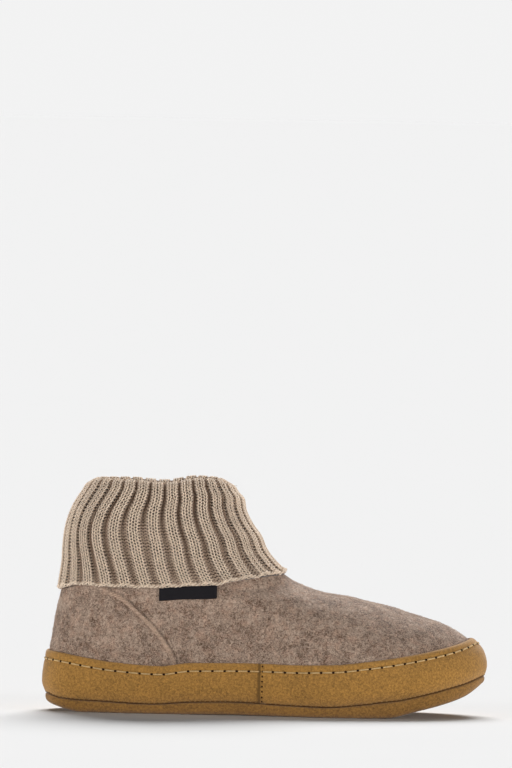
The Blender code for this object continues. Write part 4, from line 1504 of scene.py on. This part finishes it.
class SLIPPER_OT_stage(bpy.types.Operator):
    """Pale floor, soft studio light and the camera"""

    bl_idname = "slipper.stage"
    bl_label = "Build Stage"

    def execute(self, context):
        floor = mesh_piece(
            "floor", FLOOR_REACH * np.array(FLOOR_CORNERS), np.array([[0, 1, 2, 3]]),
            self.floor_finish(context.scene.slipper_colours.floor), centred=False)
        self.world(context)
        for lamp in LAMPS:
            self.lamp(*lamp)
        self.camera(context)
        context.scene.view_settings.view_transform = "Standard"
        return {"FINISHED"}

    def floor_finish(self, colour):
        finish = Finish("Pale floor", roughness=1.0)
        finish.shader.inputs["Specular IOR Level"].default_value = 0.0
        finish.shader.inputs["Base Color"].default_value = shade(colour, 1.0)
        return finish.material

    def world(self, context):
        """Even light from all round, with the floor's own tone behind it."""
        world = bpy.data.worlds.new("Studio")
        world.use_nodes = True
        tree = Nodes(world.node_tree)
        light = tree.nodes["Background"]
        light.inputs["Strength"].default_value = SKY_STRENGTH
        light.inputs["Color"].default_value = (1.0, 1.0, 1.0, 1.0)
        backdrop = tree.add("ShaderNodeBackground", {"Color": (*BACKDROP, 1.0)})
        seen = tree.add("ShaderNodeLightPath").outputs["Is Camera Ray"]
        mix = tree.add("ShaderNodeMixShader", {0: seen, 1: light.outputs[0], 2: backdrop.outputs[0]})
        tree.links.new(mix.outputs[0], tree.nodes["World Output"].inputs[0])
        context.scene.world = world

    def lamp(self, name, strength, width, side, rise):
        """Soft sun that shines from its side and height at the slipper."""
        lamp = bpy.data.lights.new(name, "SUN")
        lamp.energy = strength
        lamp.angle = math.radians(width)
        light = linked(name, lamp)
        light.rotation_euler = (math.radians(90.0 - rise), 0.0, math.radians(side))

    def camera(self, context):
        """Level side view from a little above, rolled as the photograph is."""
        elevation = math.radians(1.5)
        roll = math.radians(1.0)
        distance = 8.0
        picture_height = 0.467
        aim = Vector((-0.0083, 0.0, 0.2002))
        lens = bpy.data.cameras.new("Camera")
        lens.sensor_width = 36.0
        lens.lens = 36.0 * distance / picture_height
        lens.clip_end = 200.0
        camera = linked("Camera", lens)
        place = aim + Vector((0.0, -math.cos(elevation), math.sin(elevation))) * distance
        turn = Matrix.Rotation(math.pi / 2 - elevation, 4, "X") @ Matrix.Rotation(roll, 4, "Z")
        camera.matrix_world = Matrix.Translation(place) @ turn
        context.scene.camera = camera


class SLIPPER_PT_panel(bpy.types.Panel):
    """Sizes, colours and build steps of the slipper"""

    bl_idname = "SLIPPER_PT_panel"
    bl_label = "Felt House Slipper"
    bl_space_type = "VIEW_3D"
    bl_region_type = "UI"
    bl_category = "Slipper"

    def draw(self, context):
        for group in (context.scene.slipper_sizes, context.scene.slipper_colours):
            box = self.layout.box()
            for label in group.__annotations__:
                box.prop(group, label)
        for step in STEPS:
            self.layout.operator(step.bl_idname)


STEPS = (
    SLIPPER_OT_stage, SLIPPER_OT_sole, SLIPPER_OT_upper, SLIPPER_OT_rand, SLIPPER_OT_cuff, SLIPPER_OT_tab)
CLASSES = (SlipperSizes, SlipperColours, *STEPS, SLIPPER_PT_panel)


def register():
    for entry in CLASSES:
        bpy.utils.register_class(entry)
    bpy.types.Scene.slipper_sizes = bpy.props.PointerProperty(type=SlipperSizes)
    bpy.types.Scene.slipper_colours = bpy.props.PointerProperty(type=SlipperColours)


def unregister():
    del bpy.types.Scene.slipper_colours
    del bpy.types.Scene.slipper_sizes
    for entry in reversed(CLASSES):
        bpy.utils.unregister_class(entry)


def main():
    register()
    bpy.ops.slipper.stage()
    bpy.ops.slipper.sole()
    bpy.ops.slipper.upper()
    bpy.ops.slipper.rand()
    bpy.ops.slipper.cuff()
    bpy.ops.slipper.tab()


if __name__ == "__main__":
    main()
